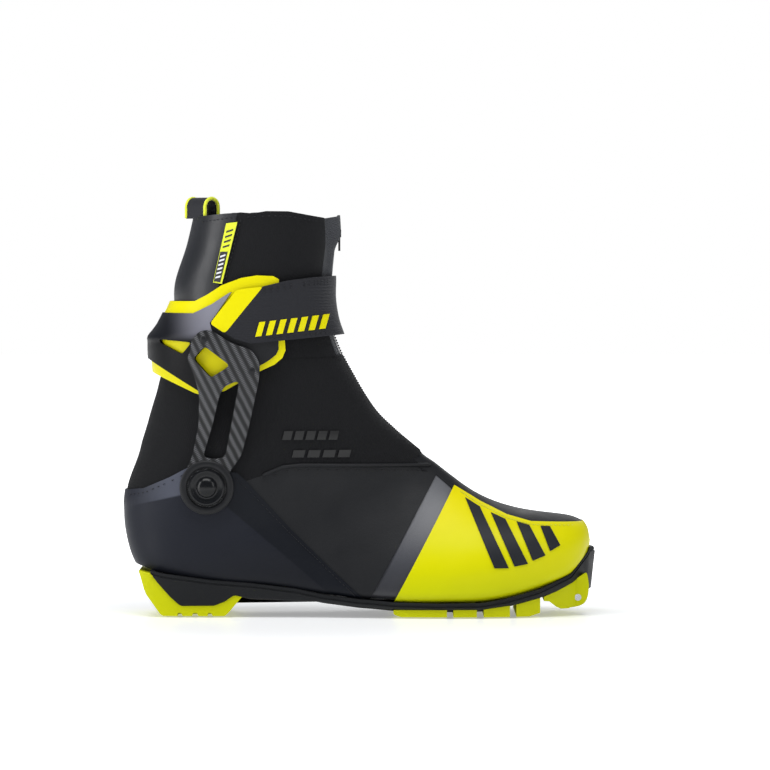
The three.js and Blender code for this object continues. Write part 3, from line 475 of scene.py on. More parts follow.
# Roughness that wanders between two values over patches of a given size, as handling leaves it.
def uneven_gloss(material, size, smooth, rough):
    vector = coordinates(material, [1 / size] * 3)
    cloud = node(material, "ShaderNodeTexNoise", Scale=1.0, Detail=4.0)
    spread = node(material, "ShaderNodeMapRange")
    spread.inputs["From Min"].default_value = 0.3
    spread.inputs["From Max"].default_value = 0.7
    spread.inputs["To Min"].default_value = smooth
    spread.inputs["To Max"].default_value = rough
    join(material, vector, cloud.inputs["Vector"])
    join(material, cloud.outputs["Fac"], spread.inputs["Value"])
    join(material, spread.outputs["Result"], shader_of(material).inputs["Roughness"])


uneven_gloss(sole_black, 0.02, 0.48, 0.62)


def settle(piece, body, slot, material, *nodes):
    piece.data.materials.clear()
    piece.data.materials.append(material)
    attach(piece, body)
    if nodes:
        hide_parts(*nodes)


settle(carrier, "root", "sole_black", sole_black, "outsole_carrier")

# ---- Rubber treads -------------------------------------------------------------------------------
# Yellow rubber bonded under the carrier: a notched heel piece, three rows of forefoot lugs with the two
# guide grooves of a ski binding between them, and a toe lug with two cheeks round the steel binding bar.
HEEL_LOW = [
    (-139, 28.4), (-137.7, 27.0), (-134.8, 17), (-133.2, 13.2), (-124.6, 1.4), (-122.6, 0), (-84, 0),
    (-81.8, 1.9), (-72.4, 13.0),
]
HEEL_TOP = [
    (-139, 28.6), (-130.4, 26.8), (-127, 22.3), (-118, 12.4), (-111.6, 6.8), (-90.4, 7.0), (-84, 9.6),
    (-77.9, 13.6), (-72.4, 13.2),
]
rubber = finish("rubber_yellow", (0.5, 0.52, 0.0), 0.5, specular=0.12)
grain(rubber, 0.0009, 0.00008)
grain(rubber, 0.004, 0.0001)
uneven_gloss(rubber, 0.012, 0.36, 0.56)


# Cuts the flat pattern out, rolls its edges, divides it finely and lays its two faces where outside and
# inside say.
def moulded(name, loops, outside, inside, cell=2.2, edge=(0.3, 0.7)):
    bm = bmesh.new()
    borders = []
    for loop in loops:
        verts = [bm.verts.new((x, y, 0)) for x, y in loop]
        borders += [bm.edges.new(pair) for pair in zip(verts, verts[1:] + verts[:1])]
    bmesh.ops.triangle_fill(bm, use_beauty=True, edges=borders, normal=(0, 0, 1))
    rim = bm.verts.layers.float.new("rim")
    side = bm.verts.layers.float.new("side")
    seen = set(bm.verts)
    for vert in bm.verts:
        vert[rim] = 1.0
    for width, height in zip((edge[0], edge[1] - edge[0]), (0.3, 0.0)):
        bmesh.ops.inset_region(bm, faces=bm.faces[:], thickness=width, use_even_offset=True)
        for vert in set(bm.verts) - seen:
            vert[rim] = height
        seen = set(bm.verts)
    xs = [v.co.x for v in bm.verts]
    ys = [v.co.y for v in bm.verts]
    for axis, values in ((0, xs), (1, ys)):
        count = max(1, round((max(values) - min(values)) / cell))
        normal = (1, 0, 0) if axis == 0 else (0, 1, 0)
        for i in range(1, count):
            at = min(values) + (max(values) - min(values)) * i / count
            bmesh.ops.bisect_plane(
                bm,
                geom=bm.verts[:] + bm.edges[:] + bm.faces[:],
                dist=0.02,
                plane_co=(at, 0, 0) if axis == 0 else (0, at, 0),
                plane_no=normal,
            )
    uv = bm.loops.layers.uv.new("pattern")
    for face in bm.faces:
        for corner in face.loops:
            corner[uv].uv = corner.vert.co.xy / 100
    grown = bmesh.ops.extrude_face_region(bm, geom=bm.faces[:], use_keep_orig=True)["geom"]
    for element in grown:
        if isinstance(element, bmesh.types.BMVert):
            element[side] = 1.0
    for vert in bm.verts:
        lay = outside if vert[side] > 0.5 else inside
        vert.co = lay(vert.co.x, vert.co.y, vert[rim]) * MM + Vector((ORIGIN_X * MM, 0, 0))
    bmesh.ops.remove_doubles(bm, verts=bm.verts[:], dist=2e-5)
    bmesh.ops.recalc_face_normals(bm, faces=bm.faces[:])
    return as_piece(name, bm)


# A lug: its plan outline, and the heights of its tread and of its root at each x.
def lug(name, outlines, tread, root, cell=1.6, roll=0.5):
    def below(x, y, rim):
        return Vector((x, y, min(tread(x, y) + roll * rim, root(x, y) - 0.1)))

    def above(x, y, rim):
        return Vector((x, y, root(x, y)))

    return moulded(name, [spaced(outline, 0.4) for outline in outlines], below, above, cell, (0.3, 0.6))


def clipped(outline, from_x, to_x, from_y=-90, to_y=90):
    bm = bmesh.new()
    bm.faces.new([bm.verts.new((x, y, 0)) for x, y in outline])
    for place, normal in (
        ((from_x, 0, 0), (-1, 0, 0)),
        ((to_x, 0, 0), (1, 0, 0)),
        ((0, from_y, 0), (0, -1, 0)),
        ((0, to_y, 0), (0, 1, 0)),
    ):
        geometry = bm.verts[:] + bm.edges[:] + bm.faces[:]
        bmesh.ops.bisect_plane(
            bm, geom=geometry, dist=1e-4, plane_co=place, plane_no=normal, clear_outer=True
        )
    bm.faces.ensure_lookup_table()
    loop = [tuple(corner.vert.co.xy) for corner in bm.faces[0].loops]
    bm.free()
    return loop


NOTCHES = (-112, -102.5, -93.3)


def heel_tread(x, y):
    if any(abs(x - at) < 1.35 for at in NOTCHES) and abs(y - toe_swing(x)) > 16:
        return 2.0
    return height(HEEL_LOW, x)


heel_print = clipped(footprint(-0.2, 1.0), -137.9, -72.6)
heel_lug = lug(
    "heel_tread_rubber", [heel_print], heel_tread, lambda x, y: height(HEEL_TOP, x) + 0.2, cell=1.1
)
settle(heel_lug, "root", "yellow_rubber", rubber, "heel_tread")

GAPS = (56.5, 75.4, 95.8)
FORE_TOP = [(20, 4.6), (76, 4.8), (97.3, 7.7), (113, 11.6)]
FORE_LOW = [(20, 4.2), (21.5, 1.5), (26, 0), (106, 0), (112.5, 2)]
fore_edges = [21.2] + [x for gap in GAPS for x in (gap - 2, gap + 2)] + [112.8]
for word, from_y, to_y in (("lateral", -90, -18), ("centre", -9, 9), ("medial", 18, 90)):
    prints = [
        clipped(footprint(-0.6, 1.0), fore_edges[i], fore_edges[i + 1], from_y, to_y) for i in range(0, 8, 2)
    ]
    row = lug(
        f"forefoot_lugs_{word}",
        prints,
        lambda x, y: height(FORE_LOW, x),
        lambda x, y: height(FORE_TOP, x) + 0.3,
    )
    settle(row, "root", "yellow_rubber", rubber, f"forefoot_tread_{word}")

TOE_LOW = [(115, 9.3), (118.5, 9), (123, 5.4), (126, 4), (131, 4), (142.9, 8.3), (143.4, 14), (145, 15)]
TOE_TOP = [(115, 12.4), (123.5, 15.6), (134, 20.7), (141, 26)]


def toe_low(x, y):
    under_bar = x > 131.6 and abs(y) < 14.2
    return 16.2 if under_bar else height(TOE_LOW, x)


toe_lug = lug(
    "toe_lug", [clipped(footprint(-0.6, 1.0), 115.2, 142)], toe_low, lambda x, y: height(TOE_TOP, x), cell=1.1
)
settle(toe_lug, "root", "yellow_rubber", rubber, "toe_tread")
CHEEK = [(129, 19), (131, 4.4), (138, 5.6), (141.6, 7.6), (143.4, 12), (144, 19), (142.6, 27), (139, 24.6)]


# Pattern corners are cut round, to a radius.
def rounded(points, radius=2.0, closed=True):
    made = [] if closed else [points[0]]
    span = range(len(points)) if closed else range(1, len(points) - 1)
    for i in span:
        before, here, after = Vector(points[i - 1]), Vector(points[i]), Vector(points[(i + 1) % len(points)])
        start = here + (before - here) * min(radius / (before - here).length, 0.45)
        end = here + (after - here) * min(radius / (after - here).length, 0.45)
        for k in range(5):
            t = k / 4
            made.append(tuple(start * (1 - t) ** 2 + here * 2 * t * (1 - t) + end * t * t))
    return made if closed else [*made, points[-1]]


for word, side in (("lateral", -1), ("medial", 1)):
    cheek = moulded(
        f"toe_cheek_{word}",
        [spaced(dense(rounded(CHEEK, 2) + rounded(CHEEK, 2)[:1], 0.8))],
        lambda x, z, rim: Vector((x, side * (17.3 - 0.6 * rim), z)),
        lambda x, z, rim: Vector((x, side * 12.6, z)),
        1.2,
        (0.3, 0.6),
    )
    settle(cheek, "root", "yellow_rubber", rubber)

# ---- Heel counter --------------------------------------------------------------------------------
# A satin graphite shell of moulded TPU round the heel, bonded and stitched over the panels next to it.
# A facet runs from its top rear corner, and a long crease crosses it from the ankle bolt down to the
# sole.
COUNTER_FRONT = [(1.6, 11.5), (-42, 54.2), (-69.4, 83.9)]
COUNTER_TOP = [(-69.4, 83.9), (-76, 90), (-107.4, 93), (-118.4, 87.1), (-134.8, 80), (-160, 77)]


def raised(line, by):
    return [(x, z + by) for x, z in line]


def backwards(line):
    return list(reversed(line))


def part_of(line, from_x, to_x):
    return [(x, z) for x, z in line if from_x - 0.01 <= x <= to_x + 0.01]


# Distance above a straight line in the side view, in millimetres.
def above(a, b, x, z):
    length = math.hypot(b[0] - a[0], b[1] - a[1])
    return ((b[0] - a[0]) * (z - a[1]) - (b[1] - a[1]) * (x - a[0])) / length


CREASE = ((-80.8, 66.8), (-18.1, 13.6))
FACET = ((-140, 70), (-110.2, 76.8))


def counter_relief(place, angle):
    p = foot.point(place, angle)
    ahead = above(*CREASE, p.x, p.z)
    facet = above(*FACET, p.x, p.z)
    near_top = smooth(facet, -0.6, 0.8) * smooth(-106 - p.x, 0, 3)
    step = 0.35 * smooth(ahead, -1.2, 1.2) * smooth(p.x, -85, -70)
    return step - 0.5 * near_top + 0.012 * max(facet, 0) * near_top


# A pattern piece is cut flat and then laid on its form. The flat pattern's first axis runs round the
# leg and its second along the form, both in millimetres.
def flat(form, x, z, side=LATERAL, about=0.0):
    place, angle = form.find(x, z)
    if side == MEDIAL:
        angle = 2 * about - angle
    return angle * TURN, form.distance(place)


# A pattern that goes round the back (about half a turn) or over the front (about no turn), from its two
# long edges on the outer side. Where it is slit down the middle in front, both halves stop short of it.
def wrapped(form, lower, upper, about=math.pi, slit=0.0):
    def outer(points):
        pattern = []
        for x, z in dense(points):
            s, t = flat(form, x, z)
            pattern.append((max(s, slit), t))
            if abs(s - about * TURN) < 0.4:
                break
        return pattern[:-1] + [(about * TURN, pattern[-1][1])]

    def mirror(edge):
        return [(2 * about * TURN - s, t) for s, t in edge]

    low_edge, high_edge = outer(lower), outer(upper)
    return spaced(low_edge + mirror(low_edge)[::-1] + mirror(high_edge) + high_edge[::-1])


counter_loop = wrapped(foot, backwards(part_of(SOLE_LINE, -160, -0.8)), COUNTER_FRONT + COUNTER_TOP[1:])


def panel(name, form, loops, depth, thickness, roll=0.5, cell=2.2, edge=(0.3, 0.7), shape=None):
    def laid(deep, rolled):
        def lay(s, t, rim):
            place, angle = form.place(t), s / TURN
            extra = shape(place, angle) if shape else 0
            return form.point(place, angle, deep + extra + rolled * rim)

        return lay

    return moulded(name, loops, laid(depth, roll), laid(depth + thickness, 0), cell, edge)


counter = panel(
    "heel_counter_shell", foot, [counter_loop], -0.5, 0.9, roll=0.6, cell=1.8, shape=counter_relief
)
navy = finish("navy_shell", (0.017, 0.018, 0.026), 0.42, specular=0.13)


# Colour that changes along a direction in the object's own space, between two distances in metres.
def fade(material, direction, stops):
    texture = node(material, "ShaderNodeTexCoord")
    dot = node(material, "ShaderNodeVectorMath", operation="DOT_PRODUCT")
    dot.inputs[1].default_value = Vector(direction).normalized()
    span = node(material, "ShaderNodeMapRange")
    span.inputs["From Min"].default_value = stops[0][0]
    span.inputs["From Max"].default_value = stops[-1][0]
    ramp = node(material, "ShaderNodeValToRGB")
    ramp.color_ramp.interpolation = "EASE"
    length = stops[-1][0] - stops[0][0]
    elements = ramp.color_ramp.elements
    while len(elements) < len(stops):
        elements.new(0.5)
    for element, (at, color) in zip(elements, stops):
        element.position = (at - stops[0][0]) / length
        element.color = (*color, 1)
    join(material, texture.outputs["Object"], dot.inputs[0])
    join(material, dot.outputs["Value"], span.inputs["Value"])
    join(material, span.outputs["Result"], ramp.inputs["Fac"])
    join(material, ramp.outputs["Color"], shader_of(material).inputs["Base Color"])
    return ramp.outputs["Color"]


# Painted light: the shell is coloured lighter towards its top and rear, where the lamps fall on it.
fade(
    navy, (-0.25, 0, 1),
    [(0.03, (0.01, 0.011, 0.0145)), (0.075, (0.0115, 0.013, 0.019)), (0.12, (0.014, 0.0155, 0.023))],
)


# Lays a second colour over the first, only where every limit is passed: a direction, and the distances
# along it between which the colour comes in.
def tint(material, color, *limits, strength=1.0):
    texture = node(material, "ShaderNodeTexCoord")
    amount = None
    for direction, start, end in limits:
        dot = node(material, "ShaderNodeVectorMath", operation="DOT_PRODUCT")
        dot.inputs[1].default_value = Vector(direction).normalized()
        span = node(material, "ShaderNodeMapRange", interpolation_type="SMOOTHSTEP")
        span.inputs["From Min"].default_value = start
        span.inputs["From Max"].default_value = end
        span.inputs["To Max"].default_value = strength if amount is None else 1.0
        join(material, texture.outputs["Object"], dot.inputs[0])
        join(material, dot.outputs["Value"], span.inputs["Value"])
        if amount is None:
            amount = span.outputs["Result"]
        else:
            product = node(material, "ShaderNodeMath", operation="MULTIPLY")
            join(material, amount, product.inputs[0])
            join(material, span.outputs["Result"], product.inputs[1])
            amount = product.outputs[0]
    target = shader_of(material).inputs["Base Color"]
    mixed = node(material, "ShaderNodeMix", data_type="RGBA")
    mixed.inputs[6].default_value = target.default_value
    mixed.inputs[7].default_value = (*color, 1)
    if target.links:
        join(material, target.links[0].from_socket, mixed.inputs[6])
    join(material, amount, mixed.inputs[0])
    join(material, mixed.outputs[2], target)


# Painted shade: the facet strip between the crease and the front edge is coloured darker.
tint(navy, (0.006, 0.0072, 0.0105), ((0.647, 0, 0.763), -0.0019, -0.0005))
# Painted highlight: the facet along the top rear corner is coloured lighter, as if lit from above.
tint(
    navy, (0.07, 0.076, 0.1), ((-0.225, 0, 0.974), 0.0985, 0.1), ((-1, 0, 0), 0.1055, 0.1062),
    ((1, 0, 0), -0.146, -0.112),
)
grain(navy, 0.0007, 0.00003)
uneven_gloss(navy, 0.03, 0.42, 0.5)
settle(counter, "root", "navy_shell", navy, "heel_counter")

# ---- Side panels ---------------------------------------------------------------------------------
# Matte black synthetic between the counter and the flex zone, one on each side, with a piped top edge.
PANEL_TOP = [(-70.6, 83.7), (-60.2, 88.3), (-47.4, 93.6), (-35.7, 94.7), (5, 94.2), (45, 94)]
matte_black = finish("black_synthetic", (0.0088, 0.0094, 0.011), 0.6, specular=0.2)
grain(matte_black, 0.0011, 0.00006, "ShaderNodeTexVoronoi")
uneven_gloss(matte_black, 0.02, 0.45, 0.65)
SIDE_OUTLINE = [
    (-6.5, 11.8), (6, 10.9), (48.4, 87), (51.5, 92), (46, 94),
] + backwards(PANEL_TOP[1:-1]) + [(-76, 83)]


def tube(name, points, radius, sides=10, closed=False):
    bm = bmesh.new()
    rings = []
    count = len(points)
    for i, at in enumerate(points):
        ahead = points[(i + 1) % count] if closed or i < count - 1 else at
        behind = points[i - 1] if closed or i > 0 else at
        along = (ahead - behind).normalized()
        across_it = along.cross(Vector((0, 0.3, 1))).normalized()
        other = along.cross(across_it)
        size = radius if closed or 0 < i < count - 1 else radius * 0.55
        ring = [
            bm.verts.new(
                at
                + size * (math.cos(k * math.tau / sides) * across_it + math.sin(k * math.tau / sides) * other)
            )
            for k in range(sides)
        ]
        rings.append(ring)
    pairs = list(zip(rings, rings[1:])) + ([(rings[-1], rings[0])] if closed else [])
    for a, b in pairs:
        for k in range(sides):
            bm.faces.new((a[k], a[(k + 1) % sides], b[(k + 1) % sides], b[k]))
    if not closed:
        bm.faces.new(rings[0])
        bm.faces.new(rings[-1])
    bmesh.ops.recalc_face_normals(bm, faces=bm.faces[:])
    return as_piece(name, bm, math.radians(60))


def on_form(form, line, depth, side=LATERAL, step=2.0):
    points = []
    for x, z in dense(line, step):
        place, angle = form.find(x, z)
        points.append((form.point(place, side * -angle, depth) + Vector((ORIGIN_X, 0, 0))) * MM)
    return points


def one_side(form, outline, side=LATERAL, least=0.0):
    loop = [flat(form, x, z) for x, z in dense(outline + outline[:1])[:-1]]
    loop = spaced([(max(s, least), t) for s, t in loop])
    return loop if side == LATERAL else [(-s, t) for s, t in loop]


for word, side in (("lateral", LATERAL), ("medial", MEDIAL)):
    side_panel = panel(f"side_panel_shell_{word}", foot, [one_side(foot, SIDE_OUTLINE, side)], 0.45, 0.7)
    settle(side_panel, "root", "black_synthetic", matte_black, f"side_panel_{word}")
    piping = tube(f"panel_piping_{word}", on_form(foot, part_of(PANEL_TOP, -60.2, 45), 0.3, side), 0.0012)
    settle(piping, "root", "black_synthetic", matte_black)

# ---- Flex bands ----------------------------------------------------------------------------------
# Soft grey stretch laminate where the boot bends behind the toes, set in under the panels on either
# side of it.
BAND_OUTLINE = [(3, 11.1), (24.5, 9.6), (62.7, 80.5), (45.5, 95)]
band_grey = finish("grey_band", (0.06, 0.06, 0.08), 0.4, sheen=0.1)
# Painted light: the band is coloured lighter towards its top and darker down by the sole.
fade(
    band_grey, (0.1, 0, 1),
    [(0.01, (0.016, 0.0165, 0.021)), (0.05, (0.04, 0.042, 0.052)), (0.08, (0.085, 0.088, 0.098))],
)
grain(band_grey, 0.0008, 0.00006)
for word, side in (("lateral", LATERAL), ("medial", MEDIAL)):
    band = panel(f"flex_band_laminate_{word}", foot, [one_side(foot, BAND_OUTLINE, side)], 1.2, 0.6)
    settle(band, "root", "grey_band", band_grey, f"flex_band_{word}")

# ---- Toe overlay ---------------------------------------------------------------------------------
# Bright yellow TPU film bonded over the whole forefoot and round the toe, with a bevelled edge along
# the instep strip.
STRIP_LINE = [
    (35, 104), (45, 94), (59.7, 81.3), (76, 71.5), (92.3, 63.6), (107.4, 59.4), (124, 58.8),
    (137.5, 58.4), (160, 58),
]
overlay_side = [
    flat(foot, x, z) for x, z in dense([(21.5, 9.8), (59.7, 81.3)] + part_of(STRIP_LINE, 76, 160))
]
turn_in = next(i for i, (s, t) in enumerate(overlay_side) if s < 1.2)
overlay_side = overlay_side[:turn_in] + [(0.0, overlay_side[turn_in][1])]
sole_side = [flat(foot, x, z) for x, z in dense([(21.5, 9.8)] + part_of(SOLE_LINE, 50, 145.2))]
END = foot.distance(foot.last)
sole_side += [(math.pi * TURN, END)]
overlay_loop = (
    backwards(sole_side)
    + overlay_side[1:]
    + [(-s, t) for s, t in backwards(overlay_side[:-1])]
    + [(-s, t) for s, t in sole_side[1:]]
)
tip_row = [(math.pi * TURN * (i / 20 * 2 - 1), END) for i in range(1, 20)]
overlay = panel("toe_overlay_film", foot, [spaced(overlay_loop + tip_row)], -0.5, 0.9, roll=0.55, cell=1.8)
yellow = finish("yellow_overlay", (0.62, 0.58, 0.0), 0.46, specular=0.12)
# Painted shade and light: the film is coloured darker down by the sole and lighter higher up.
fade(yellow, (0, 0, 1), [(0.01, (0.5, 0.53, 0.0)), (0.04, (0.6, 0.58, 0.0)), (0.08, (0.68, 0.6, 0.0))])
grain(yellow, 0.0006, 0.00003)
uneven_gloss(yellow, 0.02, 0.3, 0.46)
settle(overlay, "root", "yellow_overlay", yellow, "toe_overlay")

# ---- Instep strip --------------------------------------------------------------------------------
# A matte black synthetic strip down the middle of the instep to the toe, tucked in under the yellow
# film.
strip_low = [
    (48, 89), (61.5, 77.5), (76, 68.5), (92.3, 60.6), (107.4, 56.8), (124, 56.4), (137.5, 56), (160, 56),
]
strip_side = [flat(foot, x, z) for x, z in dense([(27, 124), (22, 112), (38, 94)] + strip_low)]
strip_side = strip_side[: next(i for i, (s, t) in enumerate(strip_side) if i > 30 and s < 1.2)]
strip_side = [(0.0, strip_side[0][1] - 0.5), *strip_side[1:], (0.0, strip_side[-1][1] + 1)]
strip_loop = spaced(strip_side + [(-s, t) for s, t in backwards(strip_side)[1:-1]])


def strip_dip(place, angle):
    return 1.0 * (1 - smooth(foot.point(place, angle).x, 41, 48))


strip = panel("instep_strip_film", foot, [strip_loop], 0.45, 0.7, shape=strip_dip)
settle(strip, "root", "black_synthetic", matte_black, "instep_strip")


# A woven or knitted pattern along the flat piece's own two directions, with the thread count in
# millimetres.
def weave(material, warp, weft, depth, turn=0.0):
    vector = coordinates(material, (1, 1, 1), (0, 0, turn), source="UV")
    rows = []
    for axis, pitch in (("X", warp), ("Y", weft)):
        wave = node(material, "ShaderNodeTexWave", bands_direction=axis)
        wave.inputs["Scale"].default_value = 0.31416 / (pitch / 100)
        wave.inputs["Distortion"].default_value = 0.6
        wave.inputs["Detail"].default_value = 1.0
        join(material, vector, wave.inputs["Vector"])
        rows.append(wave.outputs["Fac"])
    both = node(material, "ShaderNodeMath", operation="MULTIPLY")
    join(material, rows[0], both.inputs[0])
    join(material, rows[1], both.inputs[1])
    relief(material, both.outputs[0], depth)
    return both.outputs[0]


softshell = finish("softshell", (0.0052, 0.0054, 0.0064), 0.8, sheen=0.02, specular=0.16)
weave(softshell, 0.9, 0.7, 0.00009)
grain(softshell, 0.018, 0.0005)


def folds(place, angle):
    p = foot.point(place, angle)
    front = smooth(p.x, -60, 10) * smooth(p.z, 96, 112) * (1 - smooth(p.z, 150, 170))
    rear = smooth(-p.x, 100, 125) * smooth(p.z, 92, 110) * (1 - smooth(p.z, 140, 160))
    run = noise.noise(Vector((p.x / 34, p.y / 34, (p.z + 0.5 * p.x) / 13)))
    creased = noise.noise(Vector((p.x / 50, p.y / 40, (p.z - 0.25 * p.x) / 11 + 7)))
    calm = noise.noise(Vector((p.x / 28, p.y / 28, p.z / 28 + 3)))
    return 0.9 * front * run + 0.8 * rear * creased + 0.35 * calm


cover_low = [(48, 106), (35, 98), (44, 90)] + backwards(raised(PANEL_TOP[1:-1], -4)) + raised(COUNTER_TOP, -4)
cover_high = [(60, 165)] + [(30, 164.3), (-170, 158.3)]
cover = panel(
    "ankle_softshell", foot, [wrapped(foot, cover_low, cover_high, slit=4.2)], 0.55, 0.6, cell=2.0,
    shape=folds,
)
cover.data.materials.append(softshell)
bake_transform(cover)
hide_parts("ankle_cover")

# ---- Ankle zip -----------------------------------------------------------------------------------
# A water-repellent coil zip that closes the cover over the instep: two tapes with a row of moulded
# teeth between them.
zip_black = finish("zip_black", (0.006, 0.006, 0.007), 0.6, specular=0.2)
weave(zip_black, 0.6, 0.6, 0.00005)
FRONT_LOW = foot.find(40, 103)[0]
FRONT_SHAFT = foot.find(-9.5, 162.4)[0]
FRONT_TOP = foot.find(-17.6, 246)[0]


def zip_tape(name, from_place, to_place, depth):
    a, b = foot.distance(from_place), foot.distance(to_place)
    return panel(
        name, foot, [spaced(dense([(-4.6, a), (4.6, a), (4.6, b), (-4.6, b), (-4.6, a)]))], depth, 0.5,
        cell=1.6,
    )


# Small rounded beads, such as zip teeth and stitches: each has a middle, a direction and two radii, in
# millimetres.
def beads(name, made):
    bm = bmesh.new()
    for at, along, out, half_length, radius in made:
        side = out.cross(along).normalized()
        up = along.cross(side).normalized()
        matrix = bead_matrix(at, along.normalized() * half_length, side * radius, up * radius)
        bmesh.ops.create_icosphere(bm, subdivisions=1, radius=1, matrix=matrix)
    return as_piece(name, bm, math.radians(180))


def bead_matrix(at, x, y, z):
    columns = [x * MM, y * MM, z * MM, (at + Vector((ORIGIN_X, 0, 0))) * MM]
    rows = [[column[i] for column in columns] for i in range(3)] + [[0, 0, 0, 1]]
    return Matrix(rows)


def zip_teeth(name, from_place, to_place, depth, pitch=1.7):
    made = []
    a, b = foot.distance(from_place), foot.distance(to_place)
    count = int(abs(b - a) / pitch)
    for i in range(count):
        at = a + (b - a) * (i + 0.5) / count
        for aside in (-0.75, 0.75):
            place, angle = foot.place(at), aside / TURN
            here = foot.point(place, angle, depth)
            out = (foot.point(place, angle, depth - 1) - here).normalized()
            made.append((here, Vector((0, 1, 0)), out, 1.05, 0.62))
    return beads(name, made)


for piece in (
    zip_tape("ankle_zip_tape", FRONT_LOW, foot.find(-11.4, 183)[0], 1.45),
    zip_teeth("ankle_zip_teeth", FRONT_LOW, FRONT_SHAFT, 1.5),
):
    piece.data.materials.append(zip_black)
    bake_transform(piece)
    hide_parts("ankle_zip")

# ---- Ankle lining and tongue ---------------------------------------------------------------------
# The grey mesh lining inside the ankle and the padded tongue behind the zip.
lining_grey = finish("lining_grey", (0.035, 0.037, 0.042), 0.9, sheen=0.25, specular=0.2)
weave(lining_grey, 1.1, 1.1, 0.0002, math.radians(45))
ANKLE_LINE = [(-170, 108), (-70, 116), (25, 121)]
inner_low, inner_high = backwards(raised(ANKLE_LINE, 0.5)), [(30, 163), (-170, 157)]
inner = panel(
    "ankle_lining_mesh", foot, [wrapped(foot, [(60, 122)] + inner_low, [(60, 163)] + inner_high, slit=18)], 5,
    2.2, cell=3,
)
tongue_ends = foot.distance(foot.find(5, 137)[0]), foot.distance(foot.find(-17, 239)[0])
tongue_loop = rounded(
    [(-21, tongue_ends[0]), (21, tongue_ends[0]), (21, tongue_ends[1]), (-21, tongue_ends[1])], 9
)
tongue = panel("tongue_pad", foot, [spaced(dense(tongue_loop + tongue_loop[:1]))], 9.6, 2.3, roll=0.9, cell=3)
for piece, stands_for in ((inner, "ankle_lining"), (tongue, "tongue")):
    piece.data.materials.append(lining_grey)
    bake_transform(piece)
    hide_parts(stands_for)

# ---- Foot lining and footbed ---------------------------------------------------------------------
# The same mesh lines the foot from the heel as far forward as the flex bands, and a felt-covered foam
# footbed lies on the board.
foot_low = [(44, 9)] + backwards(raised(part_of(SOLE_LINE, -136.5, 21.5), 5))
foot_high = [(44, 9), (45, 96), (25, 120)] + backwards(raised(ANKLE_LINE, -0.5))[1:]
foot_lining = panel("foot_lining_mesh", foot, [wrapped(foot, foot_low, foot_high)], 5, 2.2, cell=3.5)
settle(foot_lining, "root", "lining_grey", lining_grey)
foam = finish("foam", (0.07, 0.075, 0.085), 0.95, sheen=0.3, specular=0.2)
grain(foam, 0.0012, 0.0003)
bed_top = [flat(foot, x, z) for x, z in dense(raised(part_of(SOLE_LINE, -123, 92.3), 3.4))]
bed_loop = spaced(bed_top + [(math.tau * TURN - s, t) for s, t in backwards(bed_top)])
footbed = panel("footbed_felt", foot, [bed_loop], 5, 2.4, roll=-0.4, cell=4)
settle(footbed, "root", "foam", foam, "footbed")
for cad_node, material in (
    ("lasting_board", foam), ("heel_cup", foam), ("toe_box", matte_black), ("foot_lining", lining_grey)
):
    data = frame["nodes"][cad_node].data
    data.materials.clear()
    data.materials.append(material)

# ---- Collar --------------------------------------------------------------------------------------
# The shaft above the ankle: a satin moulded panel behind, two matte neoprene flaps to the sides, and
# between them in front a thin gusset and the top of the zip. All of it is stitched and moves with the
# cuff.
COLLAR_TOP = [
    (-150, 247), (-104.5, 249.5), (-84, 251.5), (-74, 252.2), (-66, 251.6), (-58, 253), (-44, 252.9),
    (-25.5, 249.6),
]
collar_synthetic = finish("collar_synthetic", (0.009, 0.0098, 0.0125), 0.4, coat=0.08, specular=0.4)
grain(collar_synthetic, 0.0009, 0.00004)
grain(collar_synthetic, 0.03, 0.0006)
uneven_gloss(collar_synthetic, 0.02, 0.36, 0.48)
rear_low = [(-98.2, 159.5), (-170, 158)]
rear_high = [(-98.2, 159.5), (-93.6, 180), (-75.3, 252)] + backwards(part_of(COLLAR_TOP, -150, -84))
collar_rear = panel(
    "collar_rear_panel", foot, [wrapped(foot, rear_low, rear_high)], 0.1, 1.4, roll=0.7, cell=2.2
)
settle(collar_rear, "cuff", "collar_synthetic", collar_synthetic, "collar_rear")


def flap_folds(place, angle):
    p = foot.point(place, angle)
    return 0.5 * noise.noise(Vector((p.x / 16, p.y / 20, p.z / 40)))


FLAP = [
    (-99, 160), (-94.2, 180), (-76, 252),
] + part_of(COLLAR_TOP, -74, -25.5) + [(-19, 248.6), (10, 248), (10, 163)]
for word, side in (("lateral", LATERAL), ("medial", MEDIAL)):
    flap = panel(
        f"collar_flap_{word}", foot, [one_side(foot, FLAP, side, least=17.4)], -0.1, 1.3, roll=0.7,
        cell=2.2, shape=flap_folds,
    )
    settle(flap, "cuff", "softshell", softshell, f"collar_front_{word}")


def gusset_folds(place, angle):
    p = foot.point(place, angle)
    crease = math.sin(p.y * 0.9 + 0.06 * p.z) * smooth(abs(p.y), 4, 8)
    forward = 4.5 * smooth(p.z, 203, 214) + 4.0 * smooth(p.z, 227, 240)
    return 0.6 * crease - forward * smooth(abs(p.y), 5, 8) * (1 - smooth(abs(p.y), 10, 17.5))


gusset_top, gusset_low = foot.distance(foot.find(-18, 249)[0]), foot.distance(foot.find(-10, 160)[0])
zip_end = foot.distance(FRONT_TOP)
for word, side in (("lateral", LATERAL), ("medial", MEDIAL)):
    pattern = [
        (3, gusset_low), (20, gusset_low), (20, gusset_top + 1), (16, gusset_top + 1), (7, gusset_top - 2),
        (3, zip_end),
    ]
    loop = [(-side * s, t) for s, t in spaced(dense(pattern + pattern[:1]))]
    gusset = panel(f"collar_gusset_{word}_fabric", foot, [loop], 2.0, 0.7, cell=1.6, shape=gusset_folds)
    settle(gusset, "cuff", "lining_grey", lining_grey, f"collar_gusset_{word}")


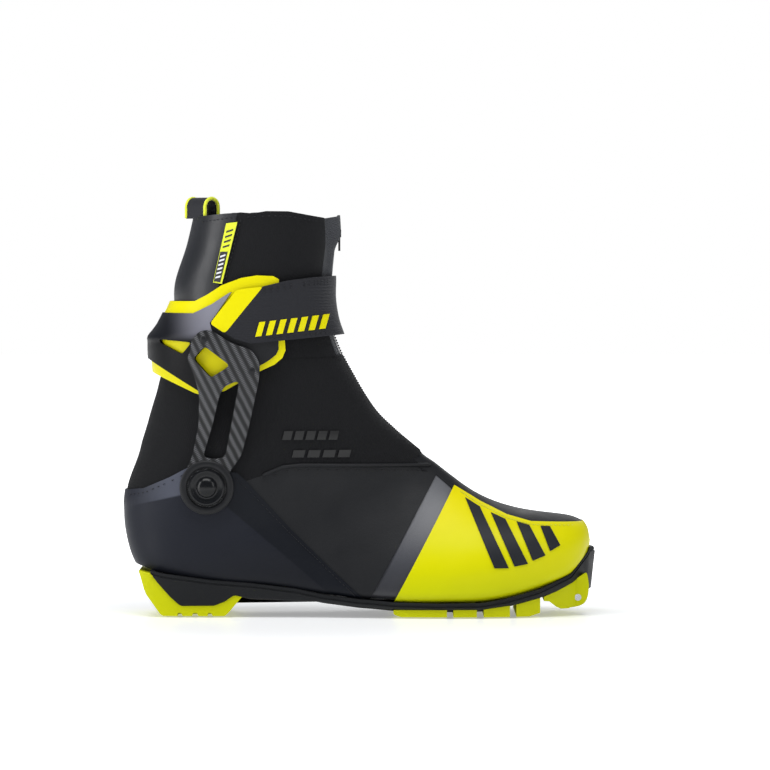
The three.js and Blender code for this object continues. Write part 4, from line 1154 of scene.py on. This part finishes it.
a, b = foot.distance(FRONT_SHAFT) - 1, zip_end
tape_outline = [(-4.4, a), (4.4, a), (4.4, b), (-4.4, b), (-4.4, a)]
tape = panel("collar_zip_tape", foot, [spaced(dense(tape_outline))], 1.4, 0.5, cell=1.6)
settle(tape, "cuff", "zip_black", zip_black, "collar_zip")
teeth = zip_teeth("collar_zip_teeth", foot.place(a), foot.place(b), 1.7)
settle(teeth, "cuff", "zip_black", zip_black)

# ---- Collar lining -------------------------------------------------------------------------------
# A thick ring of foam in brushed mesh inside the collar, rolled over its top edge and open in front
# behind the gusset.
PUFF_STEPS, PUFF_LIMIT = 12, 0.0022
pad_low = [(30, 166), (-170, 160)]
pad_high = [(30, 247), (-25.5, 247)] + backwards(part_of(COLLAR_TOP, -150, -44))


def soft_swell(place, angle):
    return 0.5 * noise.noise(Vector((4 * math.cos(angle), 4 * math.sin(angle), place * 1.7)))


pad = panel(
    "collar_lining_pad", foot, [wrapped(foot, pad_low, raised(pad_high, 0.6), slit=9)], 2.1, 5.2, roll=1.6,
    cell=3.2, edge=(0.8, 2.0), shape=soft_swell,
)
puffed = pad.copy()
puffed.data = pad.data.copy()
bpy.context.scene.collection.objects.link(puffed)
remesh = puffed.modifiers.new("remesh", "REMESH")
remesh.mode = "VOXEL"
remesh.voxel_size = 0.004
cloth = puffed.modifiers.new("stuffing", "CLOTH")
cloth.settings.use_pressure = True
cloth.settings.uniform_pressure_force = 2.5
cloth.settings.effector_weights.gravity = 0
cloth.settings.tension_stiffness = 60
cloth.settings.quality = 5
cloth.point_cache.frame_start = 1
cloth.point_cache.frame_end = PUFF_STEPS
for step_number in range(1, PUFF_STEPS + 1):
    bpy.context.scene.frame_set(step_number)
graph = bpy.context.evaluated_depsgraph_get()
swollen = bpy.data.meshes.new_from_object(puffed.evaluated_get(graph))
start_tree = kdtree.KDTree(len(pad.data.vertices))
for i, vert in enumerate(pad.data.vertices):
    start_tree.insert(vert.co, i)
start_tree.balance()
for vert in swollen.vertices:
    nearest, _, distance = start_tree.find(vert.co)
    if distance > PUFF_LIMIT:
        vert.co = nearest + (vert.co - nearest) * (PUFF_LIMIT / distance)
bpy.data.objects.remove(puffed)
bpy.context.scene.frame_set(1)
for face in swollen.polygons:
    face.use_smooth = True
pad.data = swollen
finer = pad.modifiers.new("finer", "SUBSURF")
finer.levels = 1
finer.render_levels = 1
pad_mesh = finish("collar_mesh", (0.03, 0.031, 0.036), 0.92, sheen=0.3, specular=0.2)
grain(pad_mesh, 0.0013, 0.0003)
settle(pad, "cuff", "lining_grey", pad_mesh, "collar_lining")

# ---- Cuff ----------------------------------------------------------------------------------------
# A flexible yellow liner hugs the back of the shaft, and a stiff graphite spoiler is riveted over it.
# The liner shows above and below the spoiler and through its two windows on each side.
BAND_TOP = [
    (-49.0, 210.6), (-52.6, 212.6), (-63.6, 213), (-73.8, 211.4), (-86.6, 206.8), (-96.1, 201),
    (-104.3, 197), (-160, 196.4),
]
LINER_LOW = [
    (-49.0, 209.4), (-46.4, 190), (-44.8, 166.5), (-46.9, 161.7), (-52, 157.6), (-61.4, 153.5),
    (-85, 141), (-100.5, 138.6), (-104, 139.6), (-132.4, 152.2), (-160, 152),
]


CUFF_SECTIONS = [
    (-16.5, 221, -118.5, 219, 45.6, 0.5, 2.2, 2.3),
    (-15.6, 206, -120.5, 204, 46.1, 0.5, 2.2, 2.3),
    (-15, 195.5, -122.6, 195.3, 46.6, 0.5, 2.2, 2.3),
    (-13.2, 185.2, -128.6, 183.3, 47, 0.5, 2.2, 2.3),
    (-9.8, 175.8, -133.3, 173.9, 47, 0.5, 2.2, 2.3),
    (-5.5, 165, -133.7, 162.5, 46.5, 0.5, 2.2, 2.3),
    (-3.5, 153.5, -132.7, 150.6, 45.6, 0.5, 2.2, 2.3),
    (2, 142, -129.8, 139.9, 44.6, 0.5, 2.2, 2.3),
    (7, 131, -126.6, 129.2, 43.8, 0.5, 2.2, 2.3),
]


cuff_form = Form(CUFF_SECTIONS)


liner = panel(
    "cuff_liner_shell", cuff_form, [wrapped(cuff_form, LINER_LOW, BAND_TOP)], 1.9, 1.8, roll=0.7, cell=2.2
)
cuff_yellow = finish("cuff_yellow", (0.64, 0.58, 0.0), 0.48, specular=0.12)
grain(cuff_yellow, 0.0007, 0.00003)
uneven_gloss(cuff_yellow, 0.015, 0.34, 0.48)
settle(liner, "cuff", "yellow_overlay", cuff_yellow, "cuff_liner")

SPOILER_HIGH = [
    (-79, 160), (-91, 176), (-93.4, 183.4), (-79.5, 202.6), (-80.6, 202.3), (-92.3, 195), (-104.3, 189.4),
    (-160, 189.9),
]
SPOILER_LOW = [
    (-79, 160), (-82, 150), (-88, 141.4), (-100.5, 141.2), (-115, 150), (-132.4, 160.6), (-160, 161),
]
WINDOW_ONE = [(-125.2, 173.2), (-104.6, 171.3), (-110.6, 163.9), (-124.4, 170.6)]
WINDOW_TWO = [(-96, 169.1), (-80.2, 157.1), (-92.3, 149.3), (-103.3, 161.3)]


def spoiler_relief(place, angle):
    p = cuff_form.point(place, angle)
    ridge = p.z - (172.4 + 0.05 * (p.x + 130)) - 2.4
    hollow = smooth(ridge, -0.5, 9) * smooth(24 - ridge, 0, 12)
    return 1.1 * hollow - 0.7 * smooth(ridge + 1, -3, 0) * smooth(3 - ridge, -1, 3)


windows = [
    one_side(cuff_form, rounded(w, 2.2), side) for w in (WINDOW_ONE, WINDOW_TWO) for side in (LATERAL, MEDIAL)
]
windows = [[(s if s > 0 else math.tau * TURN + s, t) for s, t in w] for w in windows]
spoiler = panel(
    "cuff_spoiler_shell", cuff_form, [wrapped(cuff_form, SPOILER_LOW, SPOILER_HIGH), *windows], -0.5, 2.2,
    roll=0.8, cell=1.7, shape=spoiler_relief,
)
graphite_painted_light = finish("graphite_painted_light", (0.008, 0.0085, 0.011), 0.42, specular=0.1)
# Painted highlight: above the ridge the spoiler turns a pale grey towards its front, where light falls on it.
tint(graphite_painted_light, (0.2, 0.2, 0.24), ((1, 0, 0.15), -0.094, -0.06), ((0, 0, 1), 0.17, 0.178), strength=0.95)
# Painted shade: below the ridge the spoiler is coloured darker than its base colour.
tint(graphite_painted_light, (0.0035, 0.0036, 0.0044), ((0, 0, -1), -0.1745, -0.1715))
grain(graphite_painted_light, 0.0008, 0.00003)
uneven_gloss(graphite_painted_light, 0.02, 0.32, 0.42)
settle(spoiler, "cuff", "graphite_shell", graphite_painted_light, "cuff_spoiler")

# ---- Cuff wings ----------------------------------------------------------------------------------
# A thin black film bonded on the liner below the strap, on each side. It leaves the liner's edge
# showing as a rim.
WING = [
    (-95.5, 185), (-82, 184.5), (-49.5, 182), (-49.6, 167), (-51.2, 163.8), (-55.6, 160.3),
    (-62, 156.6), (-70, 152.6), (-77.5, 149.5), (-77.8, 160.4), (-95.8, 174),
]
for word, side in (("lateral", LATERAL), ("medial", MEDIAL)):
    wing = panel(f"cuff_wing_film_{word}", cuff_form, [one_side(cuff_form, WING, side)], 1.3, 0.5, roll=0.3)
    settle(wing, "cuff", "black_synthetic", matte_black)

# ---- Carbon links --------------------------------------------------------------------------------
# Two-armed levers of compression-moulded carbon twill that carry the ankle bolts' turning force up to
# the cuff. They frame the forward window, and lie flat over the bolts and bow outwards over the cuff.
LINK_FLAT = 37.2 + 0.6
LINK_THICK = 2.6


def link_reach(x, z):
    on_cuff = abs(cuff_form.point(*cuff_form.find(x, z)).y) + 0.6
    return LINK_FLAT + (on_cuff - LINK_FLAT) * smooth(z, 99, 128)


BOSS = 16.3
boss_arc = [
    (BOLT_X + BOSS * math.cos(math.radians(a)), BOLT_Z + BOSS * math.sin(math.radians(a)))
    for a in range(138, 396, 6)
]
LINK_EDGE = boss_arc + rounded(
    [
        (-80.5, 91), (-73.6, 100.4), (-68.4, 119.7), (-62.1, 148.7), (-61.5, 158.4), (-66.6, 167),
        (-79.3, 170.9), (-92, 179.4), (-99.4, 178.6), (-104.6, 172.3), (-104.6, 166.6),
        (-107.2, 161.6), (-103, 152), (-99.6, 139.2), (-100, 119.7), (-104, 100.4), (-107.2, 93),
    ],
    4,
    closed=False,
)
LINK_GAP = [
    (-97.4, 100), (-91.4, 119.7), (-87, 138), (-84, 144), (-76.2, 147.4), (-74.6, 146), (-79.6, 119.7),
    (-83.5, 100), (-90, 98.6),
]
carbon = finish("carbon", (0.02, 0.02, 0.022), 0.4, coat=0.1, specular=0.25)
slant = coordinates(carbon, (1, 1, 1), (0, math.radians(27), 0))
twill = node(carbon, "ShaderNodeTexWave", bands_direction="X")
twill.inputs["Scale"].default_value = 0.31416 / 0.0046
twill.inputs["Distortion"].default_value = 0.5
twill.inputs["Detail Scale"].default_value = 3.0
fibre = node(carbon, "ShaderNodeTexWave", bands_direction="Z")
fibre.inputs["Scale"].default_value = 0.31416 / 0.0011
fibre.inputs["Distortion"].default_value = 0.4
woven = node(carbon, "ShaderNodeMath", operation="MULTIPLY")
tows = node(carbon, "ShaderNodeValToRGB")
tows.color_ramp.elements[0].position, tows.color_ramp.elements[0].color = 0.1, (0.003, 0.0032, 0.0038, 1)
tows.color_ramp.elements[1].position, tows.color_ramp.elements[1].color = 0.85, (0.11, 0.112, 0.12, 1)
join(carbon, slant, twill.inputs["Vector"])
join(carbon, slant, fibre.inputs["Vector"])
join(carbon, twill.outputs["Fac"], woven.inputs[0])
join(carbon, fibre.outputs["Fac"], woven.inputs[1])
join(carbon, woven.outputs[0], tows.inputs["Fac"])
join(carbon, tows.outputs["Color"], shader_of(carbon).inputs["Base Color"])
relief(carbon, woven.outputs[0], 0.00012)
shell_black = finish("moulded_black", (0.006, 0.0065, 0.0078), 0.42, specular=0.25)
grain(shell_black, 0.0008, 0.00003)


# A solid of turned section about the ankle bolt, from pairs of radius and distance from the boot's
# middle.
def turned(name, profile, side, x=BOLT_X, z=BOLT_Z, steps=64):
    bm = bmesh.new()
    verts = [bm.verts.new(Vector((x + ORIGIN_X + r, side * y, z)) * MM) for r, y in profile]
    edges = [bm.edges.new(pair) for pair in zip(verts, verts[1:])]
    centre = Vector((x + ORIGIN_X, 0, z)) * MM
    bmesh.ops.spin(
        bm, geom=verts + edges, cent=centre, axis=(0, 1, 0), angle=math.tau, steps=steps,
        use_merge=True, use_duplicate=False,
    )
    bmesh.ops.remove_doubles(bm, verts=bm.verts[:], dist=1e-6)
    bmesh.ops.recalc_face_normals(bm, faces=bm.faces[:])
    return as_piece(name, bm, math.radians(38))


def link_lay(side, out, rolled):
    def lay(x, z, rim):
        near = math.hypot(x - BOLT_X, z - BOLT_Z)
        dish = 0.5 * smooth(BOSS - near, 0.5, 2) * rolled
        return Vector((x, side * (link_reach(x, max(z, 99)) + out - rolled * (0.7 * rim + dish)), z))

    return lay


for word, side in (("lateral", LATERAL), ("medial", MEDIAL)):
    loops = [
        spaced(dense(loop + loop[:1])) for loop in (LINK_EDGE, rounded(LINK_GAP, 3), rounded(WINDOW_TWO, 2.6))
    ]
    hole = [
        (BOLT_X + 6.6 * math.cos(a * math.tau / 40), BOLT_Z + 6.6 * math.sin(a * math.tau / 40))
        for a in range(40)
    ]
    link = moulded(
        f"link_carbon_{word}", [*loops, hole], link_lay(side, LINK_THICK, 1), link_lay(side, 0, 0), 1.6,
        (0.35, 0.9),
    )
    settle(link, "cuff", "carbon", carbon, f"link_{word}")

# ---- Ankle bolts ---------------------------------------------------------------------------------
# A steel nut inside the heel, a bearing ring in the link, and outside a black cap with a raised collar,
# a groove round it and a glossy domed middle. Two domed rivets hold each link's head to the cuff.
OUT = LINK_FLAT + 2.8
CAP_PROFILE = [
    (0, OUT - 1), (2, OUT - 1), (2, OUT), (11.2, OUT), (11.4, OUT + 0.2), (11.4, OUT + 1.5),
    (11.0, OUT + 2.0), (10.2, OUT + 2.15), (9.4, OUT + 2.0), (8.6, OUT + 1.5), (6.9, OUT + 1.15),
    (6.3, OUT + 1.3), (6.0, OUT + 1.8), (5.2, OUT + 2.6), (3.9, OUT + 3.25), (2.3, OUT + 3.65),
    (0.9, OUT + 3.8), (0, OUT + 3.82),
]
RIM_PROFILE = [
    (12.3, OUT - 1.2), (16.6, OUT - 1.2), (16.9, OUT - 0.7), (16.7, OUT + 0.2), (15.9, OUT + 0.75),
    (14.4, OUT + 0.9), (13.0, OUT + 0.7), (12.4, OUT + 0.2), (12.3, OUT - 1.2),
]
dome_black = finish("dome_black", (0.0035, 0.004, 0.005), 0.24, coat=0.12, specular=0.2)
grain(dome_black, 0.002, 0.00001)
steel = finish("steel", (0.55, 0.56, 0.58), 0.28, metallic=1.0)
grain(steel, 0.0012, 0.00002, stretch=(1, 6, 1))
uneven_gloss(steel, 0.006, 0.22, 0.36)
for word, side in (("lateral", LATERAL), ("medial", MEDIAL)):
    cap = turned(f"bolt_cap_{word}", CAP_PROFILE, side)
    settle(cap, "root", "graphite_shell", dome_black, f"pivot_cap_{word}")
    rim_ring = turned(f"link_boss_rim_{word}", RIM_PROFILE, side)
    settle(rim_ring, "cuff", "carbon", shell_black)
    for place, (x, z) in (("head", (-96.5, 173.4)), ("arm", (-66.8, 153.8))):
        out = link_reach(x, z) + LINK_THICK - 0.5
        profile = [
            (0, out), (2.3, out), (2.3, out + 0.5), (1.7, out + 0.95), (0.8, out + 1.15), (0, out + 1.2),
        ]
        rivet = turned(f"rivet_{place}_{word}_dome", profile, side, x, z, 28)
        settle(rivet, "cuff", "steel", shell_black, f"rivet_{place}_{word}")
    for cad_node in (f"pivot_nut_{word}", f"pivot_bush_{word}"):
        data = frame["nodes"][cad_node].data
        data.materials.clear()
        data.materials.append(steel)

# ---- Strap ---------------------------------------------------------------------------------------
# A broad hook-and-loop strap across the instep. It leaves a yellow anchor patch and a fixed root on the
# outer side, hinges forwards there, crosses the front and closes with a pull tab on the inner side.
webbing = finish("webbing", (0.0085, 0.009, 0.0125), 0.66, sheen=0.05, specular=0.25)
weave(webbing, 40, 1.9, 0.00012)
grain(webbing, 0.0008, 0.00008)
STRAP_REAR = [(-83.3, 177.2), (-59.7, 206.2)]
STRAP_TOP = [(-59.7, 206.2), (-44.4, 209.8), (-28, 211.8), (-10, 213.2), (5, 214)]
STRAP_LOW = [(-83.3, 177.2), (-77, 173.4), (-67.5, 170.7), (-9, 176.2), (5, 177)]
HINGE_X = -38


def curved(line, x):
    return x, height(line, x)


patch_outline = rounded([(-92.6, 183.2), (-83.3, 177), (-59.7, 206.2), (-76.0, 204.2)], 2.4)
patch = panel(
    "strap_anchor_patch", cuff_form, [one_side(cuff_form, patch_outline)], -1.0, 1.3, roll=0.6, cell=1.6
)
settle(patch, "cuff", "yellow_overlay", cuff_yellow, "strap_anchor")

root_outline = [
    *STRAP_REAR, curved(STRAP_TOP, -44.4), curved(STRAP_TOP, HINGE_X), curved(STRAP_LOW, HINGE_X),
    (-67.5, 170.7), (-77, 173.4),
]
strap_root = panel(
    "strap_root_web", cuff_form, [one_side(cuff_form, root_outline)], -0.7, 1.7, roll=0.4, edge=(0.25, 0.5)
)
settle(strap_root, "cuff", "webbing", webbing, "strap_base")


# The long edges of a strap piece, from x on the outer side across the front and back to an x on the
# inner side.
def over_front(form, line, outer_x, inner_x):
    ahead = dense([curved(line, outer_x)] + [p for p in line if p[0] > outer_x])
    outer = [flat(form, x, z) for x, z in ahead]
    outer = [p for p in outer if p[0] > 0.8]
    inner = [
        (-flat(form, x, z)[0], flat(form, x, z)[1])
        for x, z in dense([curved(line, inner_x)] + [p for p in line if p[0] > inner_x])
    ]
    inner = [p for p in inner if p[0] < -0.8]
    return outer + inner[::-1]


def lifted(place, angle):
    p = cuff_form.point(place, angle)
    front = smooth(p.x, -24, -14)
    folded = smooth(p.y, 30, 38) * smooth(-p.x, 42, 48)
    return -0.9 * front * smooth(p.z, 200, 213) - 0.25 * math.sin(p.x * 0.35) * front - 2.3 * folded


strap_loop = over_front(cuff_form, STRAP_TOP, HINGE_X, -48.2) + backwards(
    over_front(cuff_form, STRAP_LOW, HINGE_X, -47.4)
)
strap = panel(
    "strap_web", cuff_form, [spaced(dense(strap_loop + strap_loop[:1]))], -0.7, 1.7, roll=0.4,
    edge=(0.25, 0.5), shape=lifted,
)
settle(strap, "strap", "webbing", webbing, "strap")
TAB_FRONT = -49.8
tab_outline = rounded([(TAB_FRONT, 176), (-66.5, 179), (-66.5, 200.5), (TAB_FRONT, 206)], 4)


# The tab rises to meet the strap's end at the fold that it peels about.
def lapped(place, angle):
    return -2.1 * smooth(cuff_form.point(place, angle).x, -56, -50)


tab = panel(
    "strap_pull_tab", cuff_form, [one_side(cuff_form, tab_outline, MEDIAL)], -0.9, 1.7, roll=0.6,
    cell=1.8, shape=lapped,
)
settle(tab, "strap_tab", "webbing", webbing, "strap_tab")

# ---- Pull loop and label -------------------------------------------------------------------------
# A loop of webbing with yellow bound edges, sewn into the collar's top edge at the back, and a narrow
# woven label on the flap's seam, yellow above and black below with a plain pattern of dashes.
LOOP = {"width": 17, "span": 13, "height": 13.6, "turn": math.pi / 4, "at": Vector((-98.5, -12.5, 250.4))}


def arch(length_along, out):
    half, top = LOOP["span"] / 2 - 0.9, LOOP["height"] - LOOP["span"] / 2
    quarter = half * math.pi
    if length_along < top:
        return -half - out, length_along
    if length_along < top + quarter:
        a = (length_along - top) / half
        return -(half + out) * math.cos(a), top + (half + out) * math.sin(a)
    return half + out, 2 * top + quarter - length_along


def on_loop(length_along, aside, out):
    x, z = arch(length_along, out)
    c, s = math.cos(LOOP["turn"]), math.sin(LOOP["turn"])
    return LOOP["at"] + Vector((c * x - s * aside, s * x + c * aside, z - 2.0))


total = 2 * (LOOP["height"] - LOOP["span"] / 2) + (LOOP["span"] / 2 - 0.9) * math.pi
w = LOOP["width"] / 2
loop_web = moulded(
    "pull_loop_web",
    [spaced(dense([(0, -w), (total, -w), (total, w), (0, w), (0, -w)]))],
    lambda s, t, rim: on_loop(s, t, 0.75 - 0.2 * rim),
    lambda s, t, rim: on_loop(s, t, -0.75 + 0.2 * rim),
    1.2,
    (0.2, 0.5),
)
settle(loop_web, "cuff", "webbing", webbing, "pull_loop")
edge_yellow = finish("edge_yellow", (0.6, 0.66, 0.01), 0.7, sheen=0.3)
grain(edge_yellow, 0.0007, 0.00015)
for i, aside in enumerate((-w, w)):
    path = [(on_loop(total * k / 40, aside, 0) + Vector((ORIGIN_X, 0, 0))) * MM for k in range(41)]
    binding = tube(f"pull_loop_binding_{i + 1}", path, 0.00115)
    settle(binding, "cuff", "webbing", edge_yellow)

label_black = finish("label_black", (0.012, 0.012, 0.014), 0.7, sheen=0.2)
label_white = finish("label_white", (0.62, 0.63, 0.66), 0.7)
for material in (label_black, label_white):
    grain(material, 0.0006, 0.0001)
LABEL_LOW, LABEL_HIGH = ((-90.6, 208.6), (-85.2, 207.8)), ((-82.4, 245.4), (-75.6, 246.2))


# A point on the label, by its shares across and up.
def on_label(u, v):
    (ax, az), (bx, bz) = LABEL_LOW
    (cx, cz), (dx, dz) = LABEL_HIGH
    x = (ax + (bx - ax) * u) * (1 - v) + (cx + (dx - cx) * u) * v
    z = (az + (bz - az) * u) * (1 - v) + (cz + (dz - cz) * u) * v
    return x, z


def label_patch(name, u0, u1, v0, v1, depth, side, material, lean=0.0, thick=0.3):
    corners = [on_label(u0, v0), on_label(u1, v0 + lean), on_label(u1, v1 + lean), on_label(u0, v1)]
    piece = panel(
        name, foot, [one_side(foot, corners, side)], depth, thick, roll=0.1, cell=2.5, edge=(0.1, 0.2)
    )
    piece.data.materials.append(material)
    return piece


def merged(name, pieces, body, slot_name, *nodes):
    bm = bmesh.new()
    for piece in pieces:
        bm.from_mesh(piece.data)
    data = bpy.data.meshes.new(name)
    bm.to_mesh(data)
    bm.free()
    material = pieces[0].data.materials[0]
    for piece in pieces:
        bpy.data.objects.remove(piece)
    whole = bpy.data.objects.new(name, data)
    bpy.context.scene.collection.objects.link(whole)
    settle(whole, body, slot_name, material, *nodes)
    return whole


for word, side in (("lateral", LATERAL), ("medial", MEDIAL)):
    base = [label_patch("base", 0, 1, 0, 1, -0.9, side, edge_yellow, thick=0.6)]
    merged(f"label_woven_{word}", base, "cuff", "webbing", f"label_{word}")
    dark = [label_patch("field", 0.06, 0.8, 0.02, 0.52, -1.1, side, label_black)]
    dark += [
        label_patch("dash", 0.2, 0.8, 0.58 + 0.085 * i, 0.61 + 0.085 * i, -1.1, side, label_black, 0.03)
        for i in range(4)
    ]
    merged(f"label_field_{word}", dark, "cuff", "webbing")
    pale_dashes = [
        label_patch("dash", 0.18, 0.66, 0.07 + 0.07 * i, 0.1 + 0.07 * i, -1.3, side, label_white, 0.03)
        for i in range(6)
    ]
    merged(f"label_dashes_{word}", pale_dashes, "cuff", "webbing")

# ---- Printed and moulded marks -------------------------------------------------------------------
# Plain slanted bars: dark film on the toe overlay, raised yellow rubber on the strap, and tonal print
# on the ankle.
film = finish("toe_mark_film", (0.0115, 0.013, 0.0165), 0.5, specular=0.2)
grain(film, 0.0007, 0.00003)


def slanted(x, z, width, tall, lean, rise=0.0):
    return [
        (x, z), (x + width, z + rise * width), (x + width + lean, z + tall + rise * width),
        (x + lean, z + tall),
    ]


def marks(name, form, outlines, depth, side, material, body, slot_name, thick=0.35):
    loops = [one_side(form, outline, side) for outline in outlines]
    piece = panel(name, form, loops, depth, thick, roll=0.15, cell=2.4, edge=(0.12, 0.3))
    settle(piece, body, slot_name, material)
    return piece


TOE_BARS = [
    [(66, 73.5), (75, 68), (93, 31), (84, 31)],
    [(82, 64.5), (91, 60.5), (105, 33.5), (96.5, 32)],
    [(98, 59), (106, 56.8), (116, 38.5), (108, 35.4)],
    [(113, 56.2), (119, 56), (125.5, 44.5), (119, 41)],
]
strap_bars = [slanted(-64.6 + 6.5 * i, 175.0 + 0.75 * i, 3.7, 9.0, 2.5, 0.11) for i in range(7)]
for word, side in (("lateral", LATERAL), ("medial", MEDIAL)):
    marks(f"toe_mark_{word}", foot, TOE_BARS, -0.75, side, film, "root", "black_synthetic")
marks("strap_mark_rear", cuff_form, strap_bars[:4], -1.1, LATERAL, cuff_yellow, "cuff", "yellow_overlay", 0.6)
marks(
    "strap_mark_front", cuff_form, strap_bars[4:7], -1.1, LATERAL, cuff_yellow, "strap", "yellow_overlay", 0.6
)
print_black = finish("tonal_print", (0.0035, 0.0036, 0.004), 0.3, specular=0.35)
grain(print_black, 0.0008, 0.00003)
dashes = [slanted(-48 + 7.2 * i, 110.5, 5.4, 5.6, 1.4) for i in range(5)]
dashes += [slanted(-42 + 9.5 * i, 99.5, 7.4, 4.6, 1.2) for i in range(4)]
marks("ankle_print_lateral", foot, dashes, 0.0, LATERAL, print_black, "root", "softshell", 0.3)

# ---- Stitching -----------------------------------------------------------------------------------
# Lockstitch seams in bonded thread: along the counter, the side panels, the toe overlay, the collar's
# seams and rim, and the strap.
thread_dark = finish("thread_dark", (0.014, 0.0145, 0.017), 0.6, specular=0.2)
thread_yellow = finish("thread_yellow", (0.55, 0.6, 0.02), 0.6, sheen=0.2)
for material in (thread_dark, thread_yellow):
    grain(material, 0.0004, 0.00008)


def stitched(form, pattern, depth, pitch=2.7, shape=None):
    made = []
    walked = dense(pattern, 0.9)
    gap = 0.0
    for (ax, at), (bx, bt) in zip(walked, walked[1:]):
        gap += math.hypot(bx - ax, bt - at)
        if gap < pitch:
            continue
        gap = 0.0
        place, angle = form.place(at), ax / TURN
        deep = depth + (shape(place, angle) if shape else 0)
        here, ahead = form.point(place, angle, deep), form.point(form.place(bt), bx / TURN, deep)
        out = form.point(place, angle, deep - 1) - here
        if (ahead - here).length > 0.05 and out.length > 0.05:
            made.append((here, (ahead - here).normalized(), out.normalized(), 0.95, 0.26))
    return made


def both_sides(form, line, depth, shape=None):
    outer = [flat(form, x, z) for x, z in dense(line)]
    made = stitched(form, outer, depth, shape=shape)
    return made + stitched(form, [(-s, t) for s, t in outer], depth, shape=shape)


counter_seam = both_sides(
    foot,
    [
        (-2.6, 13.4), (-44, 53), (-71.2, 81.4), (-77, 86.6), (-107, 90), (-118, 84.4), (-134, 77.3),
        (-144, 75.6),
    ],
    -0.35, counter_relief,
)
panel_seam = both_sides(
    foot, [(-66, 83.4), (-59.4, 85.6), (-46.8, 90.8), (-35.7, 91.8), (5, 91.4), (41, 91)], 0.6
)
seams = beads("stitching_foot", counter_seam + panel_seam)
settle(seams, "root", "black_synthetic", thread_dark)
film_seam = both_sides(
    foot, [(62.6, 77.6), (76, 69), (92.3, 61.2), (107.4, 57.2), (124, 56.6), (134, 56.2)], -0.35
)
toe_seam = beads("stitching_toe", film_seam)
settle(toe_seam, "root", "yellow_overlay", thread_yellow)
rim_seam = both_sides(foot, [(-99, 246.4), (-84, 248.4), (-76, 249)], 0.2)
rim_seam += both_sides(foot, [(-72, 249.2), (-58, 250), (-44, 249.9), (-26, 246.7)], 0.0)
rim_seam += both_sides(foot, [(-76.2, 249), (-95.2, 178)], 0.2)
rim_seam += both_sides(foot, [(-73.2, 249), (-91.6, 178)], 0.0)
collar_seam = beads("stitching_collar", rim_seam)
settle(collar_seam, "cuff", "collar_synthetic", thread_dark)


def strap_rows(from_x, to_x):
    rows = []
    for line, by in ((STRAP_TOP, -2.2), (STRAP_TOP, -4.2), (STRAP_LOW, 2.2)):
        rows += stitched(
            cuff_form,
            [flat(cuff_form, x, z + by) for x, z in dense([curved(line, from_x), curved(line, to_x)])], -0.72,
        )
    return rows


root_seam = beads("stitching_strap_root", strap_rows(-62, HINGE_X - 1.5))
settle(root_seam, "cuff", "webbing", thread_dark)
strap_seam = beads("stitching_strap", strap_rows(HINGE_X + 1.5, -20))
settle(strap_seam, "strap", "webbing", thread_dark)

# ---- Small steel parts and what stays out of sight -----------------------------------------------
# The binding bar under the toe, the zip's slider and pull, and the lace and eyestays under the cover
# keep their shapes.
slider_black = finish("slider_black", (0.02, 0.02, 0.022), 0.4, metallic=0.6)
grain(slider_black, 0.0008, 0.00002)
lace_cord = finish("lace_cord", (0.55, 0.62, 0.04), 0.8, sheen=0.3)
grain(lace_cord, 0.0008, 0.0003)
for cad_node, material in (
    ("binding_bar", steel), ("zip_slider", slider_black), ("zip_pull", slider_black), ("lace", lace_cord),
    ("eyestay_lateral", matte_black), ("eyestay_medial", matte_black),
):
    data = frame["nodes"][cad_node].data
    data.materials.clear()
    data.materials.append(material)
